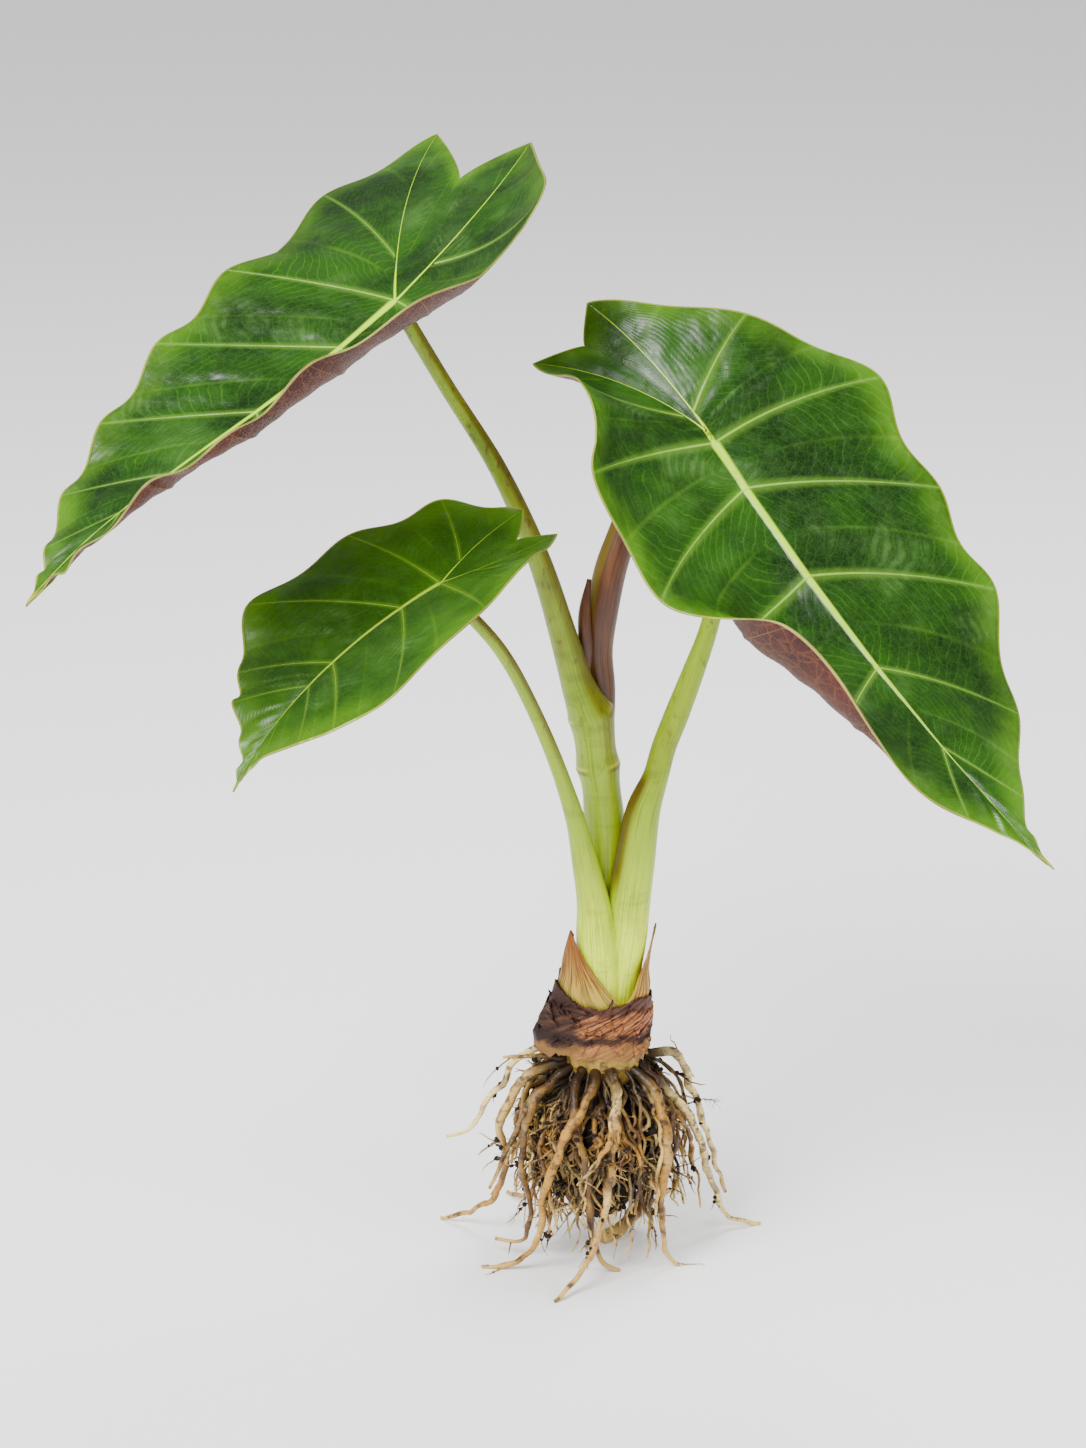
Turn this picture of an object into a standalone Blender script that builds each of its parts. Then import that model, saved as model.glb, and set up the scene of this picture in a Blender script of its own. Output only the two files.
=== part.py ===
"""Young alocasia plant with its corm, bare-rooted and standing on its spread root tips.

Metres, +Z up, seen from -Y.  The origin is the point on the ground under the stem, the flat
end of the middle root.  Every piece that grew as one is one object: the corm with its roots,
the soil between them, the dry scales, each petiole, the rolled new leaf and each leaf blade.
"""
import math
import random

import bmesh
import bpy
import numpy as np
from mathutils import Vector

MM = 0.001
GAP = 0.35 * MM

# Corm: height and radius in millimetres.
CORM_PROFILE = (
    (62, 4.0), (66, 10.5), (72, 14.0), (79, 15.6), (88, 15.3), (94, 14.7), (98, 13.0), (101.5, 10.8))
CORM_SIDES = 28

# Soil ball inside the roots: height and radius in millimetres.
SOIL_PROFILE = (
    (13, 4), (17, 10), (24, 15), (34, 19.5), (45, 23), (53, 24), (59, 21.5), (63, 17.5), (66, 12.5))
SOIL_AXIS = (-1 * MM, -1 * MM)
SOIL_SIDES = 20
SOIL_ROUGHNESS = 0.17
SOIL_CLEARANCE = 1.6 * MM

ROOT_SEED = 11
ROOT_SIDES = 6
ROOT_STEP = 8 * MM
ROOT_SINK = 0.3 * MM
ROOT_LIFT = 0.5 * MM
ROOT_TIP_SHARE = 0.38
ROOT_TAPER_POWER = 1.6
ROOT_LUMPS = 0.10
ROOT_LUMP_COUNT = 5
ROOT_PHASE = 9
ROOT_WANDER = 0.9 * MM
# Roots read from the photo: radius at the corm, then the route, all in millimetres.
# The last point is on the ground where its height is 0.
MIDDLE_ROOT = (2.4, ((7, 9, 75), (18, 20, 65), (21, 22, 38), (18, 17, 14), (9, 8, 5), (0, 0, -1)))
MAIN_ROOTS = (
    (2.0, ((10, 2, 75), (25, 3, 75.5), (33, 11, 58), (41, 19, 31), (47, 25, 10))),
    (2.1, ((8, -5, 76), (24, -7, 64), (35, -3, 46), (41, 6, 22), (50, 14, 4), (60, 17, 0))),
    (2.2, ((8, -8, 76), (19, -17, 68), (23, -24, 52), (21, -25, 20), (24, -22, 5), (28, -20, 0))),
    (2.3, ((2, -10, 77), (4, -22, 70), (3, -29, 45), (0, -31, 26), (-7, -40, 9), (-18, -52, 0))),
    (2.2, ((-6, -8, 77), (-11, -22, 68), (-7, -29, 45), (-4, -28, 18), (0, -26, 4), (6, -25, 0))),
    (2.3, ((-3, -9, 76), (-4, -21, 71), (-9, -26, 63), (-15.5, -28, 50), (-22, -27, 33), (-23, -26, 18),
           (-32, -24, 3), (-45, -22, 0))),
    (2.2, ((-9, -4, 76), (-28, -6, 70), (-38, -8, 53), (-36, 2, 32), (-42, 9, 14), (-61, 22, 0))),
    (1.7, ((-10, 0, 76), (-20, -1, 79.5), (-31.5, -3, 75), (-37.5, -4, 66), (-43, -5, 60), (-45.5, -6, 54),
           (-50, -7, 49), (-58, -8, 46.5))),
    (1.6, ((-9, -3, 75), (-22, -8, 78.5), (-30, -11, 79), (-37, -13, 80))),
    (1.9, ((-9, -6, 76), (-24, -16, 66), (-30, -19, 40), (-27, -15, 20), (-31, -12, 6), (-40, -9, 6))),
    (1.8, ((-8, -5, 72), (-26, -13, 63), (-33, -17, 50), (-39, -19, 38), (-42, -20, 31))),
    (2.2, ((-8, 8, 75), (-19, 18, 64), (-26, 24, 42), (-24, 27, 18), (-28, 36, 4), (-36, 46, 0))),
    (2.2, ((5, 10, 75), (14, 21, 66), (17, 29, 44), (16, 30, 18), (20, 38, 4), (28, 50, 0))),
)
# Fill roots: drawn between these limits, and bent out at these shares of their height.
FILL_ROOTS = 32
FILL_ROOT_RADIUS = (0.9 * MM, 1.8 * MM)
FILL_ROOT_SIDES = 5
FILL_ROOT_START = (72 * MM, 78 * MM)
FILL_ROOT_END = (5 * MM, 40 * MM)
FILL_ROOT_REACH = (25 * MM, 32 * MM)
FILL_ROOT_FOOT = 9 * MM
FILL_ROOT_SHOULDER = 22 * MM
FILL_ROOT_FLARE = (-2 * MM, 7 * MM)
FILL_ROOT_TWIST = 0.7
FILL_ROOT_WAYS = (0, 0.16, 0.5, 0.8, 1)
ROOTLETS = 22
ROOTLET_RADIUS = 0.6 * MM
ROOTLET_TAPER = (1, 0.8, 0.5)
ROOTLET_SIDES = 4
ROOTLET_LENGTH = (7 * MM, 15 * MM)
ROOTLET_BEND = 1.5 * MM
ROOTLET_HEIGHT = 1.2 * MM

# Petioles: points of the middle line and the radius there, all in millimetres.
PETIOLE_1 = (
    (0, 6, 104, 7.6), (0, 7, 120, 7.8), (0, 7, 138, 7.7), (0, 7, 164, 7.5), (-2, 6, 184, 7.7),
    (-2.3, 5.9, 186, 8.2), (-2.6, 5.8, 188, 7.8), (-4.7, 4.2, 204, 8.3), (-5.2, 4, 206.5, 8.7),
    (-6.4, 3.2, 209, 7.7), (-9.5, 2, 217, 6.2), (-14, 0, 233, 5.2), (-23.7, -5, 266, 4.1),
    (-38, -10, 300, 3.2), (-56, -15, 331, 2.8))
PETIOLE_2 = (
    (5, -2, 104, 7.4), (6.5, -2, 112, 7.6), (8, -2, 124, 7.8), (9, -2, 136, 7.8), (11, -2, 152, 7.4),
    (14.5, -1, 173, 6.1), (18.5, 0, 184, 4.7), (21, 2, 193, 4.5), (26, 4, 206, 4.5), (31, 6, 219, 4.1),
    (37, 8, 236, 3.4), (42, 8, 262, 3.2), (41, 0, 290, 3.1))
PETIOLE_3 = (
    (-2, -6, 104, 7.9), (-2, -6, 113, 8.0), (-3, -6, 127, 7.3), (-4, -6, 137, 6.1), (-7, -7, 153, 4.8),
    (-10.5, -10, 170, 3.6), (-14.5, -13, 184, 3.0), (-19, -17, 198, 2.7), (-25, -22, 214, 2.5),
    (-37, -32, 240, 2.4))
SPEAR = (
    (-1, 9, 194, 4.2), (-1, 9, 214, 4.6), (-2, 9, 228, 4.5), (-1, 9, 244, 4.8), (2, 10, 258, 5.2),
    (6.5, 12, 272, 4.9), (12, 15, 290, 3.8), (18, 19, 312, 1.9), (21, 21, 324, 0.9))
SPEAR_SCALE = ((-7.2, 3.6, 222, 1.6), (-7.6, 3.2, 232, 2.4), (-8.6, 3.4, 244, 2.1), (-7.0, 4.6, 256, 0.7))
PETIOLE_ENDS = {"blade_1": 2.7 * MM, "blade_2": 3.0 * MM, "blade_3": 2.2 * MM}
DOME_SHARE = 0.35
PETIOLE_SIDES = 14
PETIOLE_RING_STEP = 10 * MM
PETIOLE_TOP_ROOM = 1.15

# Dry scales: shells round the stem.  Heights and radii in mm, azimuths in degrees from +X.
SCALE_THICKNESS = 0.9 * MM
SCALE_LEAN_POWER = 2.2
SCALE_FLARE = 0.9
SCALE_FLARE_RATE = 2.2
SCALE_NARROWING = 0.93
SCALE_NARROW_POWER = 0.8
SCALE_STEPS = 13
SCALE_ROWS = 8
SCALE_EDGE_DROP = 1.5
LEFT_SCALE = dict(foot=99.5, tip=128, foot_radius=15.2, tip_radius=14.9,
                  middle=229, tip_at=217, half_width=74)
RIGHT_SCALE = dict(foot=99.5, tip=128, foot_radius=15.2, tip_radius=18.6,
                   middle=-12, tip_at=-4, half_width=44)
# Collar: the torn scale flares out and rises at torn_at, and a second flap rises at flap_at.
COLLAR = dict(foot=85, top=100, foot_radius=16.3, top_radius=17.2, thickness=0.9, ragged=0.8,
              torn_at=192, torn_width=36, torn_out=9.0, torn_rise=6.0, torn_lift=2.0, torn_power=1.2,
              flap_at=315, flap_width=26, flap_rise=2.5)
COLLAR_STEPS = 36
COLLAR_ROWS = 4

BLADE_THICKNESS = 0.8 * MM
MIDRIB_RIDGE = 1.7 * MM
MIDRIB_TAPER = 0.8
VEIN_RIDGE = 0.45 * MM
QUILT_SHARE = 0.0085
RIB_STEPS = 4
NOTCH_RIB = -2
RIB_COLUMNS = (0.0, 0.14, 0.34, 0.56, 0.79, 1.0)
NODE_RIB = 2
VEIN_BOW = 0.03
COSTA_BOW_GAIN = 4
NOTCH_CURVE = 1.3
TIP_FADE = 1.5
LOBE_FADE = 0.3
BEND_RANGE = (-0.6, 1.05)
BEND_STEPS = 400

# Leaf blades.  Lengths in metres, angles in degrees.  The rows run from the lobe tip along the
# side veins to the leaf tip: where the vein leaves the midrib (below 0 it is a share of the way
# to the lobe tip), where it ends (x along the midrib, y across), both as shares of the length,
# then fold and curl of the left half and fold and curl of the right half there.  A cup bends one
# half further between two ribs, so that its margin turns up and shows the underside.
LEAVES = {
    "blade_1": dict(
        node=(-0.073, -0.020, 0.362), length=0.186, heading=-138.5, droop=30, roll=3,
        arch=-30, nod=33, lobe_back=14, sway=0.10, lobe_turn=0.51, notch=0.37, costa_bow=0.035,
        scallop=0.05, wave_left=0.0016, wave_right=0.0016,
        rows=((-1.00, -0.52, 0.14, 8, 48, -4, -10), (-0.20, -0.25, 0.355, -6, 50, -3, -6),
              (0.00, 0.13, 0.32, 0, 57, 13, 4), (0.15, 0.38, 0.265, 0, 68, 15, 5),
              (0.375, 0.58, 0.22, 0, 60, 7, 1), (0.60, 0.745, 0.165, 4, 62, -3, -2),
              (0.735, 0.88, 0.065, 0, 56, -3, -2), (0.90, 0.94, 0.025, 1, 55, -3, -1),
              (1.0, 1.0, 0.0, 2, 54, -3, -1))),
    "blade_2": dict(
        node=(0.034, -0.020, 0.3165), length=0.200, heading=-44.5, droop=43.5, roll=-12,
        arch=-7, nod=-6, lobe_back=54, sway=0.025, lobe_turn=0.24, notch=0.27, costa_bow=-0.005,
        scallop=0.06, wave_left=0.001, wave_right=0.0006,
        cup=dict(side=-1, start=2.6, end=5.9, angle=104),
        rows=((-1.00, -0.315, 0.075, 45, -10, -22, 39), (-0.115, -0.125, 0.21, 28, -5, 6, 37),
              (0.03, 0.05, 0.345, 13, -6, 5, 24), (0.13, 0.285, 0.315, 11, -4, -2, 16),
              (0.325, 0.48, 0.32, 3, -9, 20, 34), (0.53, 0.69, 0.23, -7, -15, 17, 30),
              (0.71, 0.855, 0.065, -2, -11, -2, 9), (0.885, 0.94, 0.014, 0, -10, 1, 10),
              (1.0, 1.0, 0.0, 1, -9, 5, 11))),
    "blade_3": dict(
        node=(-0.057, -0.045, 0.2685), length=0.1065, heading=-145, droop=19, roll=7,
        arch=25, nod=13, lobe_back=3, sway=0.04, lobe_turn=0.0, notch=0.31, costa_bow=0.017,
        scallop=0.06, wave_left=0.0004, wave_right=0.0012,
        rows=((-1.00, -0.415, 0.09, 2, 20, 22, 7), (-0.245, -0.215, 0.28, 12, 19, 18, 5),
              (0.01, 0.085, 0.395, 7, 13, 11, 0), (0.17, 0.49, 0.41, 4, 9, 12, 0),
              (0.47, 0.675, 0.275, 3, 6, 5, -2), (0.58, 0.77, 0.19, 7, 7, 9, 0),
              (0.73, 0.862, 0.067, 11, 8, 10, 1), (0.895, 0.94, 0.02, 12, 9, 11, 1),
              (1.0, 1.0, 0.0, 13, 9, 11, 1))),
}

COLOURS = {
    "corm": ((0.42, 0.27, 0.12), 0.75),
    "soil": ((0.025, 0.014, 0.008), 0.95),
    "collar": ((0.19, 0.085, 0.04), 0.8),
    "sheath_left": ((0.30, 0.15, 0.08), 0.75),
    "sheath_right": ((0.28, 0.13, 0.07), 0.75),
    "petiole_1": ((0.30, 0.40, 0.07), 0.45),
    "petiole_2": ((0.36, 0.48, 0.08), 0.45),
    "petiole_3": ((0.34, 0.45, 0.08), 0.45),
    "new_leaf": ((0.16, 0.08, 0.05), 0.5),
    "new_leaf_scale": ((0.20, 0.08, 0.05), 0.7),
    "blade_1": ((0.035, 0.15, 0.015), 0.32),
    "blade_2": ((0.035, 0.15, 0.015), 0.32),
    "blade_3": ((0.05, 0.19, 0.02), 0.32),
}


def clear_scene():
    for item in list(bpy.data.objects):
        bpy.data.objects.remove(item, do_unlink=True)


def material(name):
    """Principled material with the piece's colour and roughness."""
    colour, roughness = COLOURS[name]
    made = bpy.data.materials.new(name)
    made.use_nodes = True
    shader = made.node_tree.nodes["Principled BSDF"]
    shader.inputs["Base Color"].default_value = (*colour, 1.0)
    shader.inputs["Roughness"].default_value = roughness
    return made


def new_object(name, points, faces):
    """Object from points and faces, linked to the scene, with its faces pointing out."""
    mesh = bpy.data.meshes.new(name)
    mesh.from_pydata([tuple(point) for point in points], [], faces)
    body = bmesh.new()
    body.from_mesh(mesh)
    bmesh.ops.recalc_face_normals(body, faces=body.faces)
    body.to_mesh(mesh)
    body.free()
    made = bpy.data.objects.new(name, mesh)
    bpy.context.scene.collection.objects.link(made)
    return made


def finish(piece):
    """Give a piece its material, triangles and smooth shading."""
    piece.data.materials.clear()
    piece.data.materials.append(material(piece.name))
    body = bmesh.new()
    body.from_mesh(piece.data)
    bmesh.ops.triangulate(body, faces=body.faces)
    body.to_mesh(piece.data)
    body.free()
    piece.data.shade_smooth()
    piece.data.set_sharp_from_angle(angle=math.radians(50))
    return piece


def combine(piece, others, operation):
    """Apply one Boolean with all the other objects, then remove them."""
    group = bpy.data.collections.new("others")
    bpy.context.scene.collection.children.link(group)
    for other in others:
        bpy.context.scene.collection.objects.unlink(other)
        group.objects.link(other)
    modifier = piece.modifiers.new("Combine", "BOOLEAN")
    modifier.operand_type = "COLLECTION"
    modifier.collection = group
    modifier.operation = operation
    bpy.context.view_layer.objects.active = piece
    bpy.ops.object.modifier_apply(modifier=modifier.name)
    for other in others:
        bpy.data.objects.remove(other, do_unlink=True)
    bpy.data.collections.remove(group)
    return piece


def smooth_row(keys, values, at):
    """Values of a smooth curve through the keyed values."""
    keys = np.asarray(keys, float)
    values = np.asarray(values, float)
    flat = values.ndim == 1
    if flat:
        values = values[:, None]
    at = np.clip(np.asarray(at, float), keys[0], keys[-1])
    gaps = np.diff(keys)
    rises = np.diff(values, axis=0) / gaps[:, None]
    slopes = np.zeros_like(values)
    slopes[0] = rises[0]
    slopes[-1] = rises[-1]
    weights = (gaps[1:] + gaps[:-1])[:, None]
    slopes[1:-1] = (rises[:-1] * gaps[1:, None] + rises[1:] * gaps[:-1, None]) / weights
    span = np.clip(np.searchsorted(keys, at, side="right") - 1, 0, len(keys) - 2)
    share = ((at - keys[span]) / gaps[span])[..., None]
    width = gaps[span][..., None]
    result = ((2 * share**3 - 3 * share**2 + 1) * values[span]
              + (share**3 - 2 * share**2 + share) * width * slopes[span]
              + (3 * share**2 - 2 * share**3) * values[span + 1]
              + (share**3 - share**2) * width * slopes[span + 1])
    return result[..., 0] if flat else result


def route(points, step):
    """Points on a smooth curve through the given ones, which it keeps, about a step apart."""
    points = np.asarray(points, float)
    lengths = np.linalg.norm(np.diff(points[:, :3], axis=0), axis=1)
    keys = np.concatenate([[0], np.cumsum(lengths)])
    places = []
    for start, end in zip(keys[:-1], keys[1:]):
        pieces = max(1, int(round((end - start) / step)))
        places.extend(np.linspace(start, end, pieces + 1)[:-1])
    places.append(keys[-1])
    return smooth_row(keys, points, places)


def tube(name, points, radii, sides, foot_dome=DOME_SHARE):
    """Closed tube along the points, with domed ends, or a flat foot where its dome is 0."""
    points = [Vector(point) for point in points]
    radii = [float(radius) for radius in radii]
    last = len(points) - 1
    ahead = (points[1] - points[0]).normalized()
    across = ahead.orthogonal().normalized()
    rings = []
    for index, point in enumerate(points):
        before = points[max(index - 1, 0)]
        after = points[min(index + 1, last)]
        turned = (after - before).normalized()
        across = (ahead.rotation_difference(turned) @ across).normalized()
        ahead = turned
        up = ahead.cross(across)
        ring = []
        for side in range(sides):
            angle = math.tau * side / sides
            ring.append(point + radii[index] * (math.cos(angle) * across + math.sin(angle) * up))
        rings.append(ring)
    vertices = [corner for ring in rings for corner in ring]
    faces = []
    for index in range(last):
        for side in range(sides):
            start = index * sides + side
            following = index * sides + (side + 1) % sides
            faces.append((start, following, following + sides, start + sides))
    vertices.append(points[0] - (points[1] - points[0]).normalized() * radii[0] * foot_dome)
    vertices.append(points[last] + ahead * radii[last] * DOME_SHARE)
    for side in range(sides):
        following = (side + 1) % sides
        faces.append((following, side, len(vertices) - 2))
        faces.append((last * sides + side, last * sides + following, len(vertices) - 1))
    return new_object(name, vertices, faces)


def turned(name, profile, sides):
    """Closed turned solid from (height, radius) pairs."""
    vertices = []
    for height, radius in profile:
        for side in range(sides):
            angle = math.tau * side / sides
            vertices.append((radius * math.cos(angle), radius * math.sin(angle), height))
    faces = []
    for index in range(len(profile) - 1):
        for side in range(sides):
            start = index * sides + side
            following = index * sides + (side + 1) % sides
            faces.append((start, following, following + sides, start + sides))
    faces.append(tuple(reversed(range(sides))))
    faces.append(tuple(range(len(vertices) - sides, len(vertices))))
    return new_object(name, vertices, faces)


def corm_body(name, extra):
    """The corm itself; extra makes a fatter copy for cutting its neighbours."""
    profile = [(height * MM, radius * MM + extra) for height, radius in CORM_PROFILE]
    profile[0] = (profile[0][0] - extra, profile[0][1])
    return turned(name, profile, CORM_SIDES)


def soil_radius(height):
    """Radius of the soil ball at a height, and 0 above and below it."""
    heights, radii = zip(*SOIL_PROFILE)
    if not heights[0] * MM < height < heights[-1] * MM:
        return 0.0
    return float(smooth_row(heights, radii, [height / MM])[0]) * MM


def clear_of_soil(point, radius):
    """Move a root point level outward, out of the soil ball."""
    offset = Vector((point[0] - SOIL_AXIS[0], point[1] - SOIL_AXIS[1], 0))
    reach = radius + SOIL_CLEARANCE
    needed = max(soil_radius(point[2] + shift) for shift in (-reach, 0, reach))
    if needed == 0 or offset.length >= needed + reach:
        return list(point)
    moved = offset.normalized() * (needed + reach)
    return [SOIL_AXIS[0] + moved.x, SOIL_AXIS[1] + moved.y, point[2]]


def in_metres(points):
    return [tuple(value * MM for value in point) for point in points]


def root_path(points, radius, grounded, chance):
    """Path and radii of a root: tapering, a little crooked and lumpy, kept off the soil and ground."""
    line = route(points, ROOT_STEP)
    last = len(line) - 1
    phase = radius / MM * ROOT_PHASE
    radii = []
    path = []
    for index, point in enumerate(line):
        share = index / last
        taper = 1 - (1 - ROOT_TIP_SHARE) * share ** ROOT_TAPER_POWER
        lumps = 1 + ROOT_LUMPS * math.sin(ROOT_LUMP_COUNT * share * math.tau + phase)
        here = radius * taper * lumps
        wander = 0.0 if index < 2 or index > last - 2 else ROOT_WANDER
        moved = [point[axis] + wander * chance.uniform(-1, 1) for axis in range(3)]
        if index > 0:
            moved = clear_of_soil(moved, here)
        moved[2] = max(moved[2], here - ROOT_SINK if grounded else here + ROOT_LIFT)
        path.append(moved)
        radii.append(here)
    return path, radii


def middle_root():
    """The stout root whose flat end is the origin: its last point is under the ground."""
    radius = MIDDLE_ROOT[0] * MM
    line = [list(point) for point in route(in_metres(MIDDLE_ROOT[1]), ROOT_STEP)]
    path = [line[0]]
    path += [clear_of_soil(point, radius) for point in line[1:-1]]
    path.append(line[-1])
    return path, [radius] * len(path)


def main_root_paths(chance):
    """The roots read from the photo."""
    paths = [middle_root()]
    for radius, points in MAIN_ROOTS:
        paths.append(root_path(in_metres(points), radius * MM, points[-1][2] == 0, chance))
    return paths


def fill_root_paths(chance):
    """Thinner roots all round, which make up the rest of the root ball."""
    paths = []
    for index in range(FILL_ROOTS):
        azimuth = math.tau * (index + chance.uniform(0.1, 0.9)) / FILL_ROOTS
        radius = chance.uniform(*FILL_ROOT_RADIUS)
        start = chance.uniform(*FILL_ROOT_START)
        end = chance.uniform(*FILL_ROOT_END)
        reach = chance.uniform(*FILL_ROOT_REACH)
        flare = chance.uniform(*FILL_ROOT_FLARE)
        twist = chance.uniform(-FILL_ROOT_TWIST, FILL_ROOT_TWIST)
        outs = (FILL_ROOT_FOOT, FILL_ROOT_SHOULDER, reach, reach + flare / 2, reach + flare)
        points = []
        for share, out in zip(FILL_ROOT_WAYS, outs):
            angle = azimuth + twist * share
            points.append((out * math.cos(angle), out * math.sin(angle), start + (end - start) * share))
        paths.append(root_path(points, radius, False, chance))
    return paths


def rootlet_paths(roots, chance):
    """Short side roots, growing outward from the others."""
    paths = []
    for index in range(ROOTLETS):
        stem = roots[1 + index % (len(roots) - 1)][0]
        start = Vector(stem[chance.randrange(len(stem) // 3, len(stem) - 1)])
        outward = Vector((start.x, start.y, 0)).normalized()
        stray = Vector((chance.uniform(-1, 1), chance.uniform(-1, 1), chance.uniform(-1.2, 0.5)))
        heading = (outward + stray).normalized()
        length = chance.uniform(*ROOTLET_LENGTH)
        points = []
        for share in (0, 0.5, 1):
            bend = Vector((chance.uniform(-1, 1), chance.uniform(-1, 1), chance.uniform(-1, 0.3)))
            point = start + heading * length * share + bend * ROOTLET_BEND * share
            point.z = max(point.z, ROOTLET_HEIGHT)
            points.append(clear_of_soil(list(point), ROOTLET_RADIUS))
        paths.append((points, [ROOTLET_RADIUS * share for share in ROOTLET_TAPER]))
    return paths


def corm_with_roots():
    """Corm and all its roots, grown as one piece, standing on the root tips."""
    chance = random.Random(ROOT_SEED)
    main_roots = main_root_paths(chance)
    fill_roots = fill_root_paths(chance)
    rootlets = rootlet_paths(main_roots + fill_roots, chance)
    grown = [tube("root", path, radii, ROOT_SIDES) for path, radii in main_roots]
    grown += [tube("root", path, radii, FILL_ROOT_SIDES) for path, radii in fill_roots]
    grown += [tube("rootlet", path, radii, ROOTLET_SIDES) for path, radii in rootlets]
    corm = combine(corm_body("corm", 0.0), grown, "UNION")
    return combine(corm, [ground_block()], "DIFFERENCE")


def ground_block():
    """Block under the ground, which cuts the root tips flat where they stand."""
    reach = 0.1
    depth = 0.02
    corners = [(x, y, z) for z in (-depth, 0.0) for y in (-reach, reach) for x in (-reach, reach)]
    faces = [(0, 2, 3, 1), (4, 5, 7, 6), (0, 1, 5, 4), (2, 6, 7, 3), (0, 4, 6, 2), (1, 3, 7, 5)]
    return new_object("ground", corners, faces)


def soil():
    """Lumpy soil ball inside the cage of roots, hollowed above for the corm."""
    chance = random.Random(ROOT_SEED + 1)
    made = turned("soil", [(height * MM, radius * MM) for height, radius in SOIL_PROFILE], SOIL_SIDES)
    for vertex in made.data.vertices:
        dent = 1 - SOIL_ROUGHNESS * chance.random()
        vertex.co.x = SOIL_AXIS[0] + vertex.co.x * dent
        vertex.co.y = SOIL_AXIS[1] + vertex.co.y * dent
    return combine(made, [corm_body("cut", GAP)], "DIFFERENCE")


def shell(name, columns, closed):
    """Thin shell from columns of (inner point, outer point) pairs, foot to top."""
    rows = len(columns[0])
    count = len(columns)
    vertices = []
    for column in columns:
        for inner, outer in column:
            vertices.extend((inner, outer))
    faces = []
    spans = count if closed else count - 1
    for index in range(spans):
        here = index * rows * 2
        there = ((index + 1) % count) * rows * 2
        for row in range(rows - 1):
            low = row * 2
            faces.append((here + low, here + low + 2, there + low + 2, there + low))
            faces.append((here + low + 1, there + low + 1, there + low + 3, here + low + 3))
        faces.append((here, there, there + 1, here + 1))
        end = (rows - 1) * 2
        faces.append((here + end, here + end + 1, there + end + 1, there + end))
    if not closed:
        for index in (0, count - 1):
            base = index * rows * 2
            for row in range(rows - 1):
                low = base + row * 2
                faces.append((low, low + 1, low + 3, low + 2))
    return new_object(name, vertices, faces)


def ring_pair(radius, thickness, azimuth, height):
    """Inner and outer point of a shell at an azimuth and height, from a radius in millimetres."""
    pair = []
    for out in (radius * MM, radius * MM + thickness):
        pair.append((out * math.cos(azimuth), out * math.sin(azimuth), height * MM))
    return tuple(pair)


def pointed_scale(name, size):
    """Dry leaf base that wraps part of the stem, flares at the foot and ends in a point."""
    columns = []
    for share in np.linspace(-1, 1, SCALE_STEPS):
        column = []
        for rise in np.linspace(0, 1, SCALE_ROWS):
            narrow = 1 - SCALE_NARROWING * rise ** SCALE_NARROW_POWER
            centre = size["middle"] + (size["tip_at"] - size["middle"]) * rise
            azimuth = math.radians(centre + share * size["half_width"] * narrow)
            height = size["foot"] + (size["tip"] - size["foot"]) * rise
            height -= SCALE_EDGE_DROP * abs(share) * rise
            lean = (size["tip_radius"] - size["foot_radius"]) * rise ** SCALE_LEAN_POWER
            flare = SCALE_FLARE * math.sin(math.pi * min(rise * SCALE_FLARE_RATE, 1)) ** 2
            radius = size["foot_radius"] + lean + flare
            column.append(ring_pair(radius, SCALE_THICKNESS, azimuth, height))
        columns.append(column)
    return shell(name, columns, False)


def bump_at(azimuth, centre, width):
    """Smooth bump from 0 to 1 round an azimuth, in degrees."""
    away = (math.degrees(azimuth) - centre + 180) % 360 - 180
    return math.exp(-(away / width) ** 2)


def collar():
    """Torn dry band round the top of the corm."""
    chance = random.Random(ROOT_SEED + 2)
    columns = []
    for index in range(COLLAR_STEPS):
        azimuth = math.tau * index / COLLAR_STEPS
        torn = bump_at(azimuth, COLLAR["torn_at"], COLLAR["torn_width"])
        flap = bump_at(azimuth, COLLAR["flap_at"], COLLAR["flap_width"])
        top = COLLAR["top"] + COLLAR["torn_rise"] * torn + COLLAR["flap_rise"] * flap
        top += COLLAR["ragged"] * chance.uniform(-1, 1)
        foot = COLLAR["foot"] + COLLAR["torn_lift"] * torn + COLLAR["ragged"] * chance.uniform(-1, 1)
        column = []
        for rise in np.linspace(0, 1, COLLAR_ROWS):
            radius = COLLAR["foot_radius"] + (COLLAR["top_radius"] - COLLAR["foot_radius"]) * rise
            radius += COLLAR["torn_out"] * torn * (1 - rise) ** COLLAR["torn_power"]
            height = foot + (top - foot) * rise
            column.append(ring_pair(radius, COLLAR["thickness"] * MM, azimuth, height))
        columns.append(column)
    return shell("collar", columns, True)


def stem_tube(name, table, extra=0.0, top=None):
    """Round petiole through (x, y, z, radius) rows; extra makes a fatter cutting copy."""
    rows = [tuple(value * MM for value in row) for row in table]
    if top is not None:
        rows.append(top)
    line = route(rows, PETIOLE_RING_STEP)
    points = [row[:3] for row in line]
    radii = [row[3] + extra for row in line]
    return tube(name, points, radii, PETIOLE_SIDES, foot_dome=0)


def leaf_frame(leaf):
    """Unit vectors of a blade: along the midrib, to its left, and out of its upper face."""
    heading, droop, roll = (math.radians(leaf[key]) for key in ("heading", "droop", "roll"))
    level_heading = np.array([math.cos(heading), math.sin(heading), 0])
    upward = np.array([0, 0, 1])
    along = math.cos(droop) * level_heading - math.sin(droop) * upward
    upright = math.sin(droop) * level_heading + math.cos(droop) * upward
    level = np.cross(upright, along)
    out = math.cos(roll) * upright + math.sin(roll) * level
    return along, np.cross(out, along), out


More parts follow.
